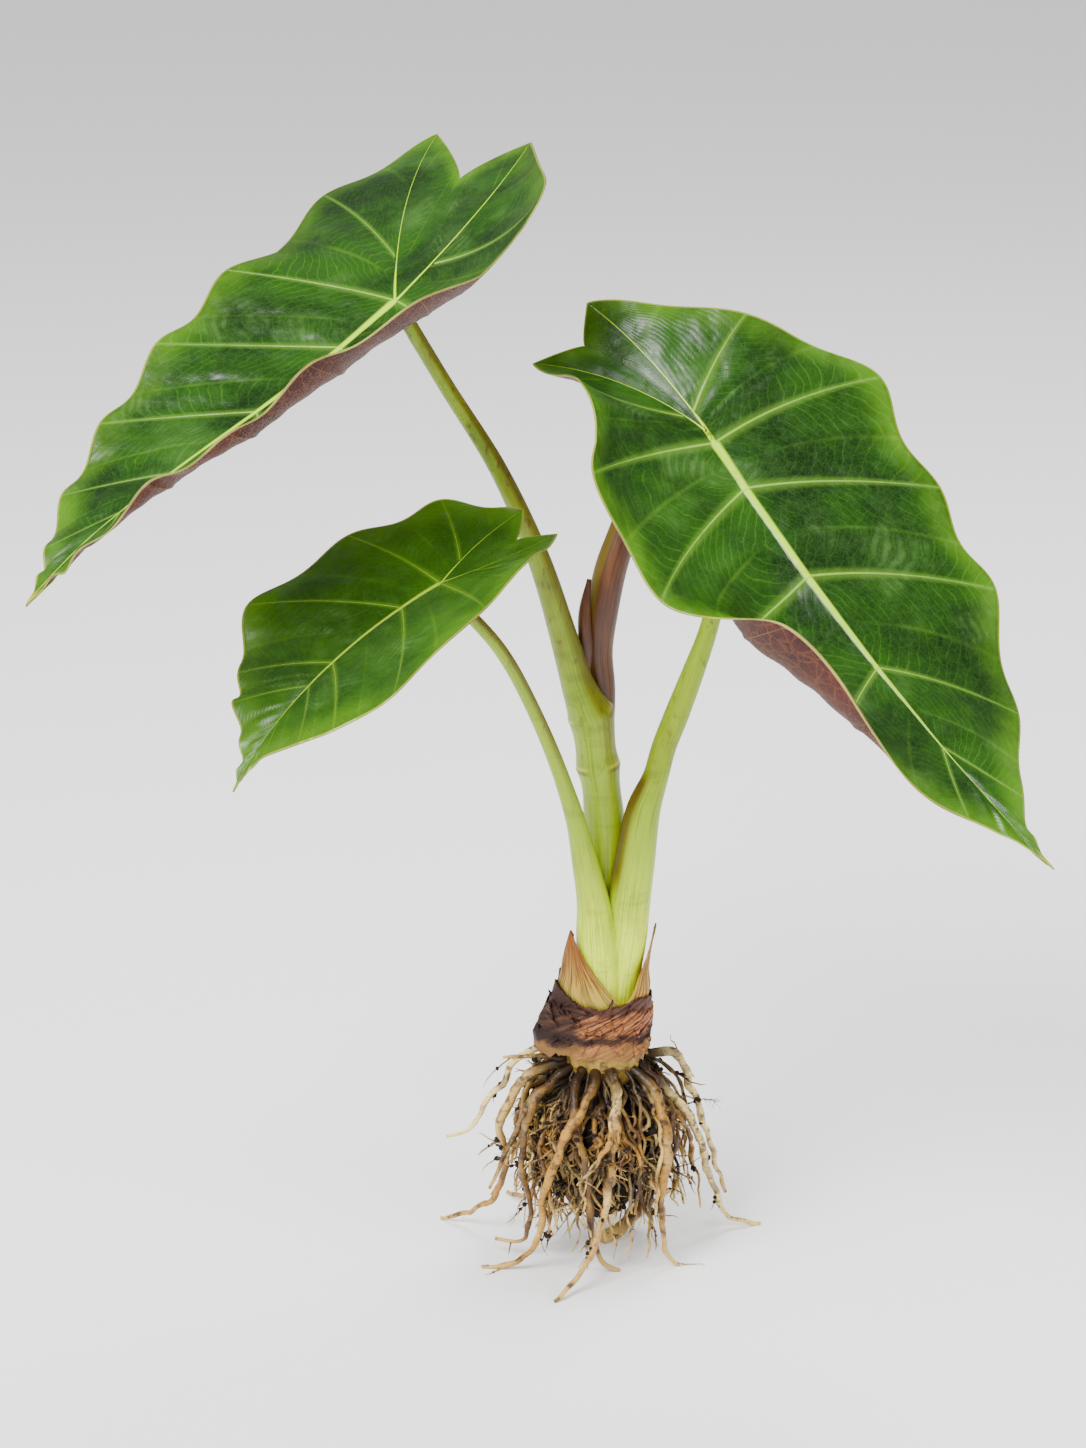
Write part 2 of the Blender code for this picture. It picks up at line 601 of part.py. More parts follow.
def flat_point(leaf, rib, share):
    """Place on the flattened half blade of a rib number and a share from spine to margin.

    Ribs 0 to 8 run from the lobe tip round to the leaf tip, and -2 to 0 from the notch between
    the lobes back to the lobe tip.  Returns x, y and the rib's root y.
    """
    rows = np.array(leaf["rows"], float)
    numbers = np.arange(len(rows), dtype=float)
    lobe = rows[0, 1:3]
    root = np.interp(np.abs(rib), numbers, rows[:, 0])
    end = smooth_row(numbers, rows[:, 1:3], np.clip(rib, 0, numbers[-1]))
    backward = np.clip(-root, 0, 1)
    root_x = np.where(root >= 0, root, backward * lobe[0])
    root_y = backward * lobe[1] + leaf["costa_bow"] * COSTA_BOW_GAIN * backward * (1 - backward)
    inner = rib < 0
    to_notch = np.clip(-rib / 2, 0, 1)
    outer_y = end[..., 1] * (1 - leaf["scallop"] * np.sin(np.pi * rib) ** 2)
    end_x = np.where(inner, lobe[0] * (1 - to_notch) - leaf["notch"] * to_notch, end[..., 0])
    end_y = np.where(inner, lobe[1] * (1 - to_notch) ** NOTCH_CURVE, outer_y)
    bow = VEIN_BOW * 4 * share * (1 - share) * np.where(inner, 0, np.clip(end_y - root_y, 0, 1))
    x = root_x + (end_x - root_x) * share - bow
    y = root_y + (end_y - root_y) * share
    return x * leaf["length"], y * leaf["length"], root_y * leaf["length"]


def bend_table(leaf):
    """Midrib as it arches: distance along it, height, forward reach and slope."""
    length = leaf["length"]
    along = np.linspace(BEND_RANGE[0] * length, BEND_RANGE[1] * length, BEND_STEPS)
    share = along / length
    forward = math.radians(leaf["arch"]) * share + math.radians(leaf["nod"]) * np.clip(share, 0, 2) ** 3
    backward = math.radians(leaf["lobe_back"]) * share * 2
    slope = np.where(share >= 0, forward, backward)
    step = np.diff(along)
    reach = np.concatenate([[0], np.cumsum(0.5 * (np.cos(slope[1:]) + np.cos(slope[:-1])) * step)])
    height = np.concatenate([[0], np.cumsum(-0.5 * (np.sin(slope[1:]) + np.sin(slope[:-1])) * step)])
    reach -= np.interp(0, along, reach)
    height -= np.interp(0, along, height)
    return along, reach, height, slope


def cup_bend(leaf, side, rib):
    """Angle by which a cup bends a half blade further at a rib."""
    cup = leaf.get("cup")
    if cup is None or cup["side"] != side:
        return np.zeros_like(rib)
    share = np.clip((rib - cup["start"]) / (cup["end"] - cup["start"]), 0, 1)
    return math.radians(cup["angle"]) * np.sin(math.pi * share) ** 2


def chord_share(angle):
    """Length of an arc's chord as a share of the arc."""
    return np.sin(angle / 2) / (angle / 2)


def blade_point(leaf, side, rib, share):
    """World points of one half blade: side is 1 for the left half and -1 for the right."""
    rib, share = np.broadcast_arrays(np.asarray(rib, float), np.asarray(share, float))
    rows = np.array(leaf["rows"], float)
    numbers = np.arange(len(rows), dtype=float)
    last = numbers[-1]
    length = leaf["length"]
    column = 3 if side > 0 else 5
    x, y, root_y = flat_point(leaf, rib, share)
    fold = np.radians(smooth_row(numbers, rows[:, column], np.clip(rib, 0, last)))
    curl = np.radians(smooth_row(numbers, rows[:, column + 1], np.clip(rib, 0, last)))
    curl = np.where(np.abs(curl) < 1e-4, 1e-4, curl)
    lobe_fold = math.radians(rows[0, column])
    width = np.where(share > 1e-9, (y - root_y) / np.maximum(share, 1e-9), 0.0)
    cup = cup_bend(leaf, side, rib)
    width = width * chord_share(curl) / chord_share(curl + cup)
    fold = fold - cup / 2
    curl = curl + cup
    across = width * (np.sin(fold + curl * share) - np.sin(fold)) / curl
    rise = width * (np.cos(fold) - np.cos(fold + curl * share)) / curl
    inner = rib < 0
    out = np.where(inner, y * math.cos(lobe_fold), root_y * math.cos(lobe_fold) + across)
    lift = np.where(inner, y * math.sin(lobe_fold), root_y * math.sin(lobe_fold) + rise)
    fade = np.clip((last - rib) / TIP_FADE, 0, 1) * np.clip(np.where(inner, 0, rib + LOBE_FADE), 0, 1)
    wave = leaf["wave_left"] if side > 0 else leaf["wave_right"]
    lift = lift + wave * np.cos(math.tau * rib) * share ** 2 * fade
    swell = QUILT_SHARE * length * np.sin(math.pi * rib) ** 2 * 4 * share * (1 - share)
    lift = lift + swell * np.clip(rib, 0, 1) * fade
    along, reach, height, slope = bend_table(leaf)
    tilt = np.interp(x, along, slope)
    forward = np.interp(x, along, reach) + lift * np.sin(tilt)
    up = np.interp(x, along, height) + lift * np.cos(tilt)
    sideways = side * out + leaf["sway"] * x * np.abs(x) / length + leaf["lobe_turn"] * np.minimum(x, 0)
    midrib, left, face = leaf_frame(leaf)
    offsets = forward[..., None] * midrib + sideways[..., None] * left + up[..., None] * face
    return np.array(leaf["node"]) + offsets


def blade(name):
    """Closed thin solid of one waved, quilted blade with its midrib and vein ridges below."""
    leaf = LEAVES[name]
    last = len(leaf["rows"]) - 1
    ribs = np.linspace(NOTCH_RIB, last, (last - NOTCH_RIB) * RIB_STEPS + 1)
    columns = np.array(RIB_COLUMNS)
    points = []
    ridges = []
    found = {}
    triangles = []
    for side in (1, -1):
        grid = blade_point(leaf, side, ribs[:, None], columns[None, :])
        index = np.zeros(grid.shape[:2], int)
        for row, rib in enumerate(ribs):
            on_vein = abs(rib - round(rib)) < 1e-6 and rib > 0
            for column, share in enumerate(columns):
                key = tuple(np.round(grid[row, column] / 1e-6).astype(int))
                if key not in found:
                    found[key] = len(points)
                    points.append(grid[row, column])
                    if column == 0:
                        from_node = min(abs(rib - NODE_RIB) / (last - NODE_RIB), 1)
                        ridges.append(MIDRIB_RIDGE * (1 - MIDRIB_TAPER * from_node))
                    else:
                        ridges.append(VEIN_RIDGE * (1 - share) if on_vein else 0.0)
                index[row, column] = found[key]
        for row in range(len(ribs) - 1):
            for column in range(len(columns) - 1):
                here = index[row, column:column + 2]
                there = index[row + 1, column:column + 2]
                corners = (here[0], here[1], there[1], there[0])
                if side < 0:
                    corners = corners[::-1]
                for triangle in (corners[:3], (corners[0], corners[2], corners[3])):
                    if len(set(triangle)) == 3:
                        triangles.append(triangle[::-1])
    return thicken(name, np.array(points), triangles, np.array(ridges))


def thicken(name, points, triangles, ridges):
    """Closed solid: an upper skin, a lower skin with the ridges, and a rim between them."""
    corners = points[np.array(triangles)]
    facing = np.cross(corners[:, 1] - corners[:, 0], corners[:, 2] - corners[:, 0])
    normals = np.zeros_like(points)
    for corner in range(3):
        np.add.at(normals, np.array(triangles)[:, corner], facing)
    normals /= np.linalg.norm(normals, axis=1)[:, None]
    upper = points + normals * BLADE_THICKNESS / 2
    lower = points - normals * (BLADE_THICKNESS / 2 + ridges)[:, None]
    count = len(points)
    edges = {}
    for first, second, third in triangles:
        for edge in ((first, second), (second, third), (third, first)):
            edges[edge] = edges.get(edge, 0) + 1
    faces = [tuple(triangle) for triangle in triangles]
    faces += [tuple(corner + count for corner in reversed(triangle)) for triangle in triangles]
    for first, second in edges:
        if (second, first) not in edges:
            faces.append((second, first, first + count))
            faces.append((second, first + count, second + count))
    return new_object(name, np.concatenate([upper, lower]), faces)


def petiole_top(leaf_name, radius):
    """Last point of a petiole: just under the blade's midrib ridge at the leaf's node."""
    leaf = LEAVES[leaf_name]
    face = leaf_frame(leaf)[2]
    drop = BLADE_THICKNESS / 2 + MIDRIB_RIDGE + radius * PETIOLE_TOP_ROOM + GAP
    point = np.array(leaf["node"]) - face * drop
    return (*point, radius)


def petioles_and_new_leaf():
    """Three petioles that hug each other at the foot, and the rolled leaf beside the first one."""
    top_1, top_2, top_3 = (petiole_top(name, PETIOLE_ENDS[name]) for name in LEAVES)
    first = stem_tube("petiole_1", PETIOLE_1, top=top_1)
    second = stem_tube("petiole_2", PETIOLE_2, top=top_2)
    third = stem_tube("petiole_3", PETIOLE_3, top=top_3)
    new_leaf = stem_tube("new_leaf", SPEAR)
    scale = stem_tube("new_leaf_scale", SPEAR_SCALE)
    beside_scale = [stem_tube("cut", SPEAR, GAP), stem_tube("cut", PETIOLE_1, GAP, top_1)]
    beside_second = [stem_tube("cut", PETIOLE_1, GAP, top_1), stem_tube("cut", PETIOLE_3, GAP, top_3)]
    combine(scale, beside_scale, "DIFFERENCE")
    combine(first, [stem_tube("cut", SPEAR, GAP)], "DIFFERENCE")
    combine(third, [stem_tube("cut", PETIOLE_1, GAP, top_1)], "DIFFERENCE")
    combine(second, beside_second, "DIFFERENCE")
    return [first, second, third, new_leaf, scale]


def build():
    clear_scene()
    pieces = [corm_with_roots(), soil(), collar()]
    pieces.append(pointed_scale("sheath_left", LEFT_SCALE))
    pieces.append(pointed_scale("sheath_right", RIGHT_SCALE))
    pieces.extend(petioles_and_new_leaf())
    for name in LEAVES:
        pieces.append(blade(name))
    for piece in pieces:
        finish(piece)


build()
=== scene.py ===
# %% [markdown]
# # A young alocasia plant with its corm
# The plant stands bare-rooted on its spread root tips. Its solids come packed from the CAD step.
# Here each of them gets the surface of the real plant: veined glossy blades, streaked stalks, dry
# papery scales, and a root ball with its rootlets and soil. Everything is in metres, with +Z up.

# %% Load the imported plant
import math
import random

import bpy
import numpy as np
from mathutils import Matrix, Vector, noise


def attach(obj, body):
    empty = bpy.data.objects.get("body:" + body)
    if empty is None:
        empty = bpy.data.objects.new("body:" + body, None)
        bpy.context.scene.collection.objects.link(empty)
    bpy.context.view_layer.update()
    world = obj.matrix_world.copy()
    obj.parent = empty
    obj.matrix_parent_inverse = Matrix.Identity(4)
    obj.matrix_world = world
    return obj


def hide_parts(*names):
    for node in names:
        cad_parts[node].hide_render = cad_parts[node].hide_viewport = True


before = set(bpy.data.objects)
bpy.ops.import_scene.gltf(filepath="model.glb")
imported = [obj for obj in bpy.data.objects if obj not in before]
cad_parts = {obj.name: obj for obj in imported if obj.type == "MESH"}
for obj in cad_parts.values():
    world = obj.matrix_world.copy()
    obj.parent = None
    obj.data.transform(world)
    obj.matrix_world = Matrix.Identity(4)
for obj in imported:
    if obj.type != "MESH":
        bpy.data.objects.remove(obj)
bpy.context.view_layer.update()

MM = 0.001
print("packed nodes:", ", ".join(sorted(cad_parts)))

# %% [markdown]
# ## Camera
# The photograph was taken from a little above, straight at the plant's front. A long lens keeps the
# leaves that reach forward from growing too large. The camera comes first.

# %% Place the camera
CAMERA_ELEVATION = math.radians(17)
CAMERA_TARGET = Vector((-0.0223, 0, 0.2035))
CAMERA_DISTANCE = 1.448
LENS = 100
SENSOR = 36

forward = Vector((0, math.cos(CAMERA_ELEVATION), -math.sin(CAMERA_ELEVATION)))
bpy.ops.object.camera_add(location=CAMERA_TARGET - forward * CAMERA_DISTANCE)
camera = bpy.context.object
camera.rotation_euler = forward.to_track_quat("-Z", "Y").to_euler()
camera.data.lens = LENS
camera.data.sensor_width = SENSOR
bpy.context.scene.camera = camera
print("camera", round(CAMERA_DISTANCE, 3), "m away, lens", LENS, "mm")

# %% [markdown]
# ## Helpers for shapes
# Leaves, stalks and scales are all sheets that grew curved. Each starts as a flat grid primitive,
# whose points are then moved by a formula, as a sheet of paper is bent or rolled. The grid brings
# its own UV map along, so a vein or a streak can later follow the surface.

# %% Select, merge and apply
def only(piece):
    """Select one piece alone and make it active."""
    bpy.ops.object.select_all(action="DESELECT")
    piece.select_set(True)
    bpy.context.view_layer.objects.active = piece


def close_seams(piece, fill=False):
    """Merge the points that meet, close open ends if asked, and turn the faces outward."""
    only(piece)
    bpy.ops.object.mode_set(mode="EDIT")
    bpy.ops.mesh.select_all(action="SELECT")
    bpy.ops.mesh.remove_doubles(threshold=0.01 * MM)
    if fill:
        bpy.ops.mesh.fill_holes(sides=0)
    bpy.ops.mesh.normals_make_consistent(inside=False)
    bpy.ops.object.mode_set(mode="OBJECT")


def apply_modifiers(piece):
    """Apply all of a piece's modifiers, first to last."""
    only(piece)
    for modifier in list(piece.modifiers):
        bpy.ops.object.modifier_apply(modifier=modifier.name)


# %% Faces, points and marks
def face_rows(piece, measure):
    """The normal or the center of each face, as rows of x, y and z."""
    values = np.empty(len(piece.data.polygons) * 3)
    piece.data.polygons.foreach_get(measure, values)
    return values.reshape(-1, 3)


def points_of(piece):
    """The piece's points as rows of x, y and z."""
    values = np.empty(len(piece.data.vertices) * 3)
    piece.data.vertices.foreach_get("co", values)
    return values.reshape(-1, 3)


def move_points(piece, places):
    piece.data.vertices.foreach_set("co", np.asarray(places, float).ravel())
    piece.data.update()


def mark(piece, name, values):
    """Store one number for each point, for the materials to read."""
    attribute = piece.data.attributes.new(name, "FLOAT", "POINT")
    attribute.data.foreach_set("value", np.asarray(values, float).ravel())


# %% Bend a grid, join and finish
def bent_grid(name, across, along, shape):
    """A grid primitive whose points go to shape(u, v), with u and v from 0 to 1."""
    bpy.ops.object.select_all(action="DESELECT")
    bpy.ops.mesh.primitive_grid_add(x_subdivisions=across, y_subdivisions=along, size=1, calc_uvs=True)
    piece = bpy.context.object
    piece.name = name
    flat = points_of(piece)
    u = np.clip(flat[:, 0] + 0.5, 0, 1)
    v = np.clip(flat[:, 1] + 0.5, 0, 1)
    move_points(piece, shape(u, v))
    return piece, u, v


def join(name, parts):
    """Join several objects into one."""
    bpy.ops.object.select_all(action="DESELECT")
    for part in parts:
        part.select_set(True)
    bpy.context.view_layer.objects.active = parts[0]
    bpy.ops.object.join()
    parts[0].name = name
    return parts[0]


def finish_piece(piece, nodes, slot, *materials):
    """Give a piece its materials, apply its modifiers, smooth it, hang it on the root body and hide the
    solids it stands for.
    """
    for material in materials:
        piece.data.materials.append(material)
    apply_modifiers(piece)
    piece.data.shade_smooth()
    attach(piece, "root")
    if nodes:
        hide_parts(*nodes)
    faces = sum(len(polygon.vertices) - 2 for polygon in piece.data.polygons)
    print(piece.name, faces, "triangles")


# %% Smooth rows
def smooth_row(keys, values, at):
    """Values of a smooth curve through the keyed values."""
    keys = np.asarray(keys, float)
    values = np.asarray(values, float)
    flat = values.ndim == 1
    if flat:
        values = values[:, None]
    at = np.clip(np.asarray(at, float), keys[0], keys[-1])
    gaps = np.diff(keys)
    rises = np.diff(values, axis=0) / gaps[:, None]
    slopes = np.zeros_like(values)
    slopes[0] = rises[0]
    slopes[-1] = rises[-1]
    weights = (gaps[1:] + gaps[:-1])[:, None]
    slopes[1:-1] = (rises[:-1] * gaps[1:, None] + rises[1:] * gaps[:-1, None]) / weights
    span = np.clip(np.searchsorted(keys, at, side="right") - 1, 0, len(keys) - 2)
    share = ((at - keys[span]) / gaps[span])[..., None]
    width = gaps[span][..., None]
    result = ((2 * share**3 - 3 * share**2 + 1) * values[span]
              + (share**3 - 2 * share**2 + share) * width * slopes[span]
              + (3 * share**2 - 2 * share**3) * values[span + 1]
              + (share**3 - share**2) * width * slopes[span + 1])
    return result[..., 0] if flat else result


# %% Routes and the directions across them
def route(points, step):
    """Points on a smooth curve through the given ones, which it keeps, about a step apart."""
    points = np.asarray(points, float)
    lengths = np.linalg.norm(np.diff(points[:, :3], axis=0), axis=1)
    keys = np.concatenate([[0], np.cumsum(lengths)])
    places = []
    for start, end in zip(keys[:-1], keys[1:]):
        pieces = max(1, int(round((end - start) / step)))
        places.extend(np.linspace(start, end, pieces + 1)[:-1])
    places.append(keys[-1])
    return smooth_row(keys, points, places)


def ring_frames(line):
    """For each point of a line, two directions across it, which don't twist along the way."""
    ahead = np.gradient(line, axis=0)
    ahead /= np.linalg.norm(ahead, axis=1)[:, None]
    across = np.zeros_like(line)
    start = Vector(ahead[0]).orthogonal().normalized()
    across[0] = start
    for index in range(1, len(line)):
        turn = Vector(ahead[index - 1]).rotation_difference(Vector(ahead[index]))
        across[index] = (turn @ Vector(across[index - 1])).normalized()
    return across, np.cross(ahead, across)


# %% [markdown]
# ## Helpers for finishes
# A plant's surface is never one colour. The materials mix a few colours by masks, and three masks
# serve several of them, so each is a node group: streaks that run along a stalk or scale, soft
# mottling, and the fine net of the smallest veins.

# %% Colours, links and sums
def srgb(red, green, blue):
    """A colour from its 0 to 255 screen values."""
    linear = []
    for value in (red, green, blue):
        value /= 255
        linear.append(value / 12.92 if value <= 0.04045 else ((value + 0.055) / 1.055) ** 2.4)
    return (*linear, 1.0)


def put(tree, socket, value):
    """Link a socket to an input, or write a plain value on it."""
    if isinstance(value, bpy.types.NodeSocket):
        tree.links.new(value, socket)
    elif value is not None:
        socket.default_value = value


def maths(tree, operation, first, second=None, third=None):
    node = tree.nodes.new("ShaderNodeMath")
    node.operation = operation
    for socket, value in zip(node.inputs, (first, second, third)):
        put(tree, socket, value)
    return node.outputs[0]


def product(tree, first, *others):
    """All the values multiplied."""
    for value in others:
        first = maths(tree, "MULTIPLY", first, value)
    return first


def scaled(tree, value, gain, base):
    """A value times its gain, plus a base."""
    return maths(tree, "MULTIPLY_ADD", value, gain, base)


def fade(tree, value, start, end, low=0.0, high=1.0):
    """Smooth step of a value from low at start to high at end."""
    node = tree.nodes.new("ShaderNodeMapRange")
    node.interpolation_type = "SMOOTHSTEP"
    for socket, number in zip(node.inputs, (value, start, end, low, high)):
        put(tree, socket, number)
    return node.outputs[0]


# %% Mixes of colours
def blend(tree, factor, first, second):
    """Mix of two colours."""
    node = tree.nodes.new("ShaderNodeMix")
    node.data_type = "RGBA"
    put(tree, node.inputs[0], factor)
    put(tree, node.inputs[6], first)
    put(tree, node.inputs[7], second)
    return node.outputs[2]


def covered(tree, shade, *layers):
    """A colour covered by layers, each a mask, its strength and its colour, from the lowest up."""
    for mask, strength, colour in layers:
        factor = mask if strength == 1 else product(tree, mask, strength)
        shade = blend(tree, factor, shade, colour)
    return shade


def ramp(tree, factor, stops):
    """Colour ramp through (position, colour) stops."""
    node = tree.nodes.new("ShaderNodeValToRGB")
    elements = node.color_ramp.elements
    while len(elements) < len(stops):
        elements.new(0.5)
    for element, (position, shade) in zip(elements, stops):
        element.position = position
        element.color = shade
    put(tree, node.inputs[0], factor)
    return node.outputs[0]


# %% Noise, places and marks
def noise_value(tree, vector, scale, detail=3, roughness=0.55):
    node = tree.nodes.new("ShaderNodeTexNoise")
    put(tree, node.inputs["Vector"], vector)
    put(tree, node.inputs["Scale"], scale)
    node.inputs["Detail"].default_value = detail
    node.inputs["Roughness"].default_value = roughness
    return node.outputs[0]


def object_place(tree):
    return tree.nodes.new("ShaderNodeTexCoord").outputs["Object"]


def surface_place(tree):
    return tree.nodes.new("ShaderNodeTexCoord").outputs["UV"]


def marked(tree, name):
    node = tree.nodes.new("ShaderNodeAttribute")
    node.attribute_name = name
    return node.outputs["Fac"]


def stretched(tree, vector, scale):
    node = tree.nodes.new("ShaderNodeMapping")
    put(tree, node.inputs["Vector"], vector)
    node.inputs["Scale"].default_value = scale
    return node.outputs[0]


def split(tree, vector):
    node = tree.nodes.new("ShaderNodeSeparateXYZ")
    put(tree, node.inputs[0], vector)
    return node.outputs


# %% A new material and its relief
def new_material(name, roughness=0.5, specular=0.5, coat=0.0, coat_roughness=0.2):
    """A material with an empty Principled shader, returned with its node tree and shader."""
    print("material", name)
    material = bpy.data.materials.new(name)
    material.use_nodes = True
    tree = material.node_tree
    shader = tree.nodes["Principled BSDF"]
    shader.inputs["Roughness"].default_value = roughness
    shader.inputs["Specular IOR Level"].default_value = specular
    shader.inputs["Coat Weight"].default_value = coat
    shader.inputs["Coat Roughness"].default_value = coat_roughness
    return material, tree, shader


def relief(tree, shader, height, distance, strength=1.0):
    """Bump of a height over a distance in metres."""
    node = tree.nodes.new("ShaderNodeBump")
    node.inputs["Distance"].default_value = distance
    node.inputs["Strength"].default_value = strength
    put(tree, node.inputs["Height"], height)
    tree.links.new(node.outputs[0], shader.inputs["Normal"])


# %% Helpers for shared masks
def mask_group(name, inputs):
    """An empty group with a vector input, number inputs and one mask output."""
    group = bpy.data.node_groups.new(name, "ShaderNodeTree")
    group.interface.new_socket("Place", in_out="INPUT", socket_type="NodeSocketVector")
    for label, value in inputs:
        socket = group.interface.new_socket(label, in_out="INPUT", socket_type="NodeSocketFloat")
        socket.default_value = value
    group.interface.new_socket("Mask", in_out="OUTPUT", socket_type="NodeSocketFloat")
    print("shared mask", name)
    return group, group.nodes.new("NodeGroupInput"), group.nodes.new("NodeGroupOutput")


def use_group(tree, group, place, **values):
    node = tree.nodes.new("ShaderNodeGroup")
    node.node_tree = group
    put(tree, node.inputs["Place"], place)
    for label, value in values.items():
        node.inputs[label].default_value = value
    return node.outputs["Mask"]


# %% Streaks along a stalk or round the stem
streaks, source, sink = mask_group("Streaks", (("Around", 60.0), ("Along", 2.0)))
fineness = streaks.nodes.new("ShaderNodeCombineXYZ")
streaks.links.new(source.outputs["Around"], fineness.inputs[0])
streaks.links.new(source.outputs["Along"], fineness.inputs[1])
drawn_out = streaks.nodes.new("ShaderNodeVectorMath")
drawn_out.operation = "MULTIPLY"
streaks.links.new(source.outputs["Place"], drawn_out.inputs[0])
streaks.links.new(fineness.outputs[0], drawn_out.inputs[1])
streaks.links.new(noise_value(streaks, drawn_out.outputs[0], 1.0, 4, 0.6), sink.inputs["Mask"])

# %% Soft mottling
mottling, source, sink = mask_group("Mottling", (("Scale", 60.0), ("Low", 0.35), ("High", 0.65)))
soft = noise_value(mottling, source.outputs["Place"], source.outputs["Scale"], 5, 0.6)
edge = fade(mottling, soft, source.outputs["Low"], source.outputs["High"])
mottling.links.new(edge, sink.inputs["Mask"])

# %% Net of the smallest veins
NET_WANDER_SCALE = 260
NET_WANDER = 1.6 * MM
vein_net, source, sink = mask_group("Vein net", (("Scale", 420.0), ("Width", 0.07)))
shaken = vein_net.nodes.new("ShaderNodeVectorMath")
shaken.operation = "ADD"
drift = vein_net.nodes.new("ShaderNodeTexNoise")
drift.inputs["Scale"].default_value = NET_WANDER_SCALE
drift_size = vein_net.nodes.new("ShaderNodeVectorMath")
drift_size.operation = "SCALE"
drift_size.inputs["Scale"].default_value = NET_WANDER
vein_net.links.new(source.outputs["Place"], drift.inputs["Vector"])
vein_net.links.new(drift.outputs["Color"], drift_size.inputs[0])
vein_net.links.new(source.outputs["Place"], shaken.inputs[0])
vein_net.links.new(drift_size.outputs[0], shaken.inputs[1])
cells = vein_net.nodes.new("ShaderNodeTexVoronoi")
cells.feature = "DISTANCE_TO_EDGE"
vein_net.links.new(shaken.outputs[0], cells.inputs["Vector"])
vein_net.links.new(source.outputs["Scale"], cells.inputs["Scale"])
edge = fade(vein_net, cells.outputs["Distance"], 0.0, source.outputs["Width"], 1.0, 0.0)
vein_net.links.new(edge, sink.inputs["Mask"])

# %% [markdown]
# ## Leaf blades
# An alocasia blade is an arrow-shaped sheet with a strong midrib, two ribs that run back into the
# lobes, and side veins that arch to a waved margin. Between the veins the tissue is puffed up. The
# rows below are the blade's plan, the same as in the solids: where each side vein starts and ends,
# and how far each half folds and curls there. A formula bends a fine grid to that plan.

# %% Plan of the three blades
VEIN_BOW = 0.05
COSTA_BOW_GAIN = 4
QUILT_SHARE = 0.0085
NOTCH_RIB = -2
LAST_RIB = 8
FULL_LENGTH = 0.2
# Each row is one side vein: x where it starts, x and y where it ends, as shares of the length, then
# the fold and curl of the left half and of the right half there, in degrees.
LEAVES = {
    "blade_1": dict(
        node=(-0.073, -0.020, 0.362), length=0.186, heading=-138.5, droop=30, roll=3,
        arch=-30, nod=33, lobe_back=14, sway=0.10, lobe_turn=0.51, notch=0.37, costa_bow=0.035,
        scallop=0.05, wave_left=0.0016, wave_right=0.0016,
        rows=((-1.00, -0.52, 0.14, 8, 48, -4, -10), (-0.20, -0.25, 0.355, -6, 50, -3, -6),
              (0.00, 0.13, 0.32, 0, 57, 13, 4), (0.15, 0.38, 0.265, 0, 68, 15, 5),
              (0.375, 0.58, 0.22, 0, 60, 7, 1), (0.60, 0.745, 0.165, 4, 62, -3, -2),
              (0.735, 0.88, 0.065, 0, 56, -3, -2), (0.90, 0.94, 0.025, 1, 55, -3, -1),
              (1.0, 1.0, 0.0, 2, 54, -3, -1))),
    "blade_2": dict(
        node=(0.034, -0.020, 0.3165), length=0.200, heading=-44.5, droop=43.5, roll=-12,
        arch=-7, nod=-6, lobe_back=54, sway=0.025, lobe_turn=0.24, notch=0.27, costa_bow=-0.005,
        scallop=0.06, wave_left=0.001, wave_right=0.0006,
        cup=dict(side=-1, start=2.6, end=5.9, angle=104),
        rows=((-1.00, -0.315, 0.075, 45, -10, -22, 39), (-0.115, -0.125, 0.21, 28, -5, 6, 37),
              (0.03, 0.05, 0.345, 13, -6, 5, 24), (0.13, 0.285, 0.315, 11, -4, -2, 16),
              (0.325, 0.48, 0.32, 3, -9, 20, 34), (0.53, 0.69, 0.23, -7, -15, 17, 30),
              (0.71, 0.855, 0.065, -2, -11, -2, 9), (0.885, 0.94, 0.014, 0, -10, 1, 10),
              (1.0, 1.0, 0.0, 1, -9, 5, 11))),
    "blade_3": dict(
        node=(-0.057, -0.045, 0.2685), length=0.1065, heading=-145, droop=19, roll=7,
        arch=25, nod=13, lobe_back=3, sway=0.04, lobe_turn=0.0, notch=0.31, costa_bow=0.017,
        scallop=0.06, wave_left=0.0004, wave_right=0.0012,
        rows=((-1.00, -0.415, 0.09, 2, 20, 22, 7), (-0.245, -0.215, 0.28, 12, 19, 18, 5),
              (0.01, 0.085, 0.395, 7, 13, 11, 0), (0.17, 0.49, 0.41, 4, 9, 12, 0),
              (0.47, 0.675, 0.275, 3, 6, 5, -2), (0.58, 0.77, 0.19, 7, 7, 9, 0),
              (0.73, 0.862, 0.067, 11, 8, 10, 1), (0.895, 0.94, 0.02, 12, 9, 11, 1),
              (1.0, 1.0, 0.0, 13, 9, 11, 1))),
}


# %% Bend a half blade to its plan
def leaf_frame(leaf):
    """Unit vectors of a blade: along the midrib, to its left, and out of its upper face."""
    heading, droop, roll = (math.radians(leaf[key]) for key in ("heading", "droop", "roll"))
    level_heading = np.array([math.cos(heading), math.sin(heading), 0])
    upward = np.array([0, 0, 1])
    along = math.cos(droop) * level_heading - math.sin(droop) * upward
    upright = math.sin(droop) * level_heading + math.cos(droop) * upward
    level = np.cross(upright, along)
    out = math.cos(roll) * upright + math.sin(roll) * level
    return along, np.cross(out, along), out


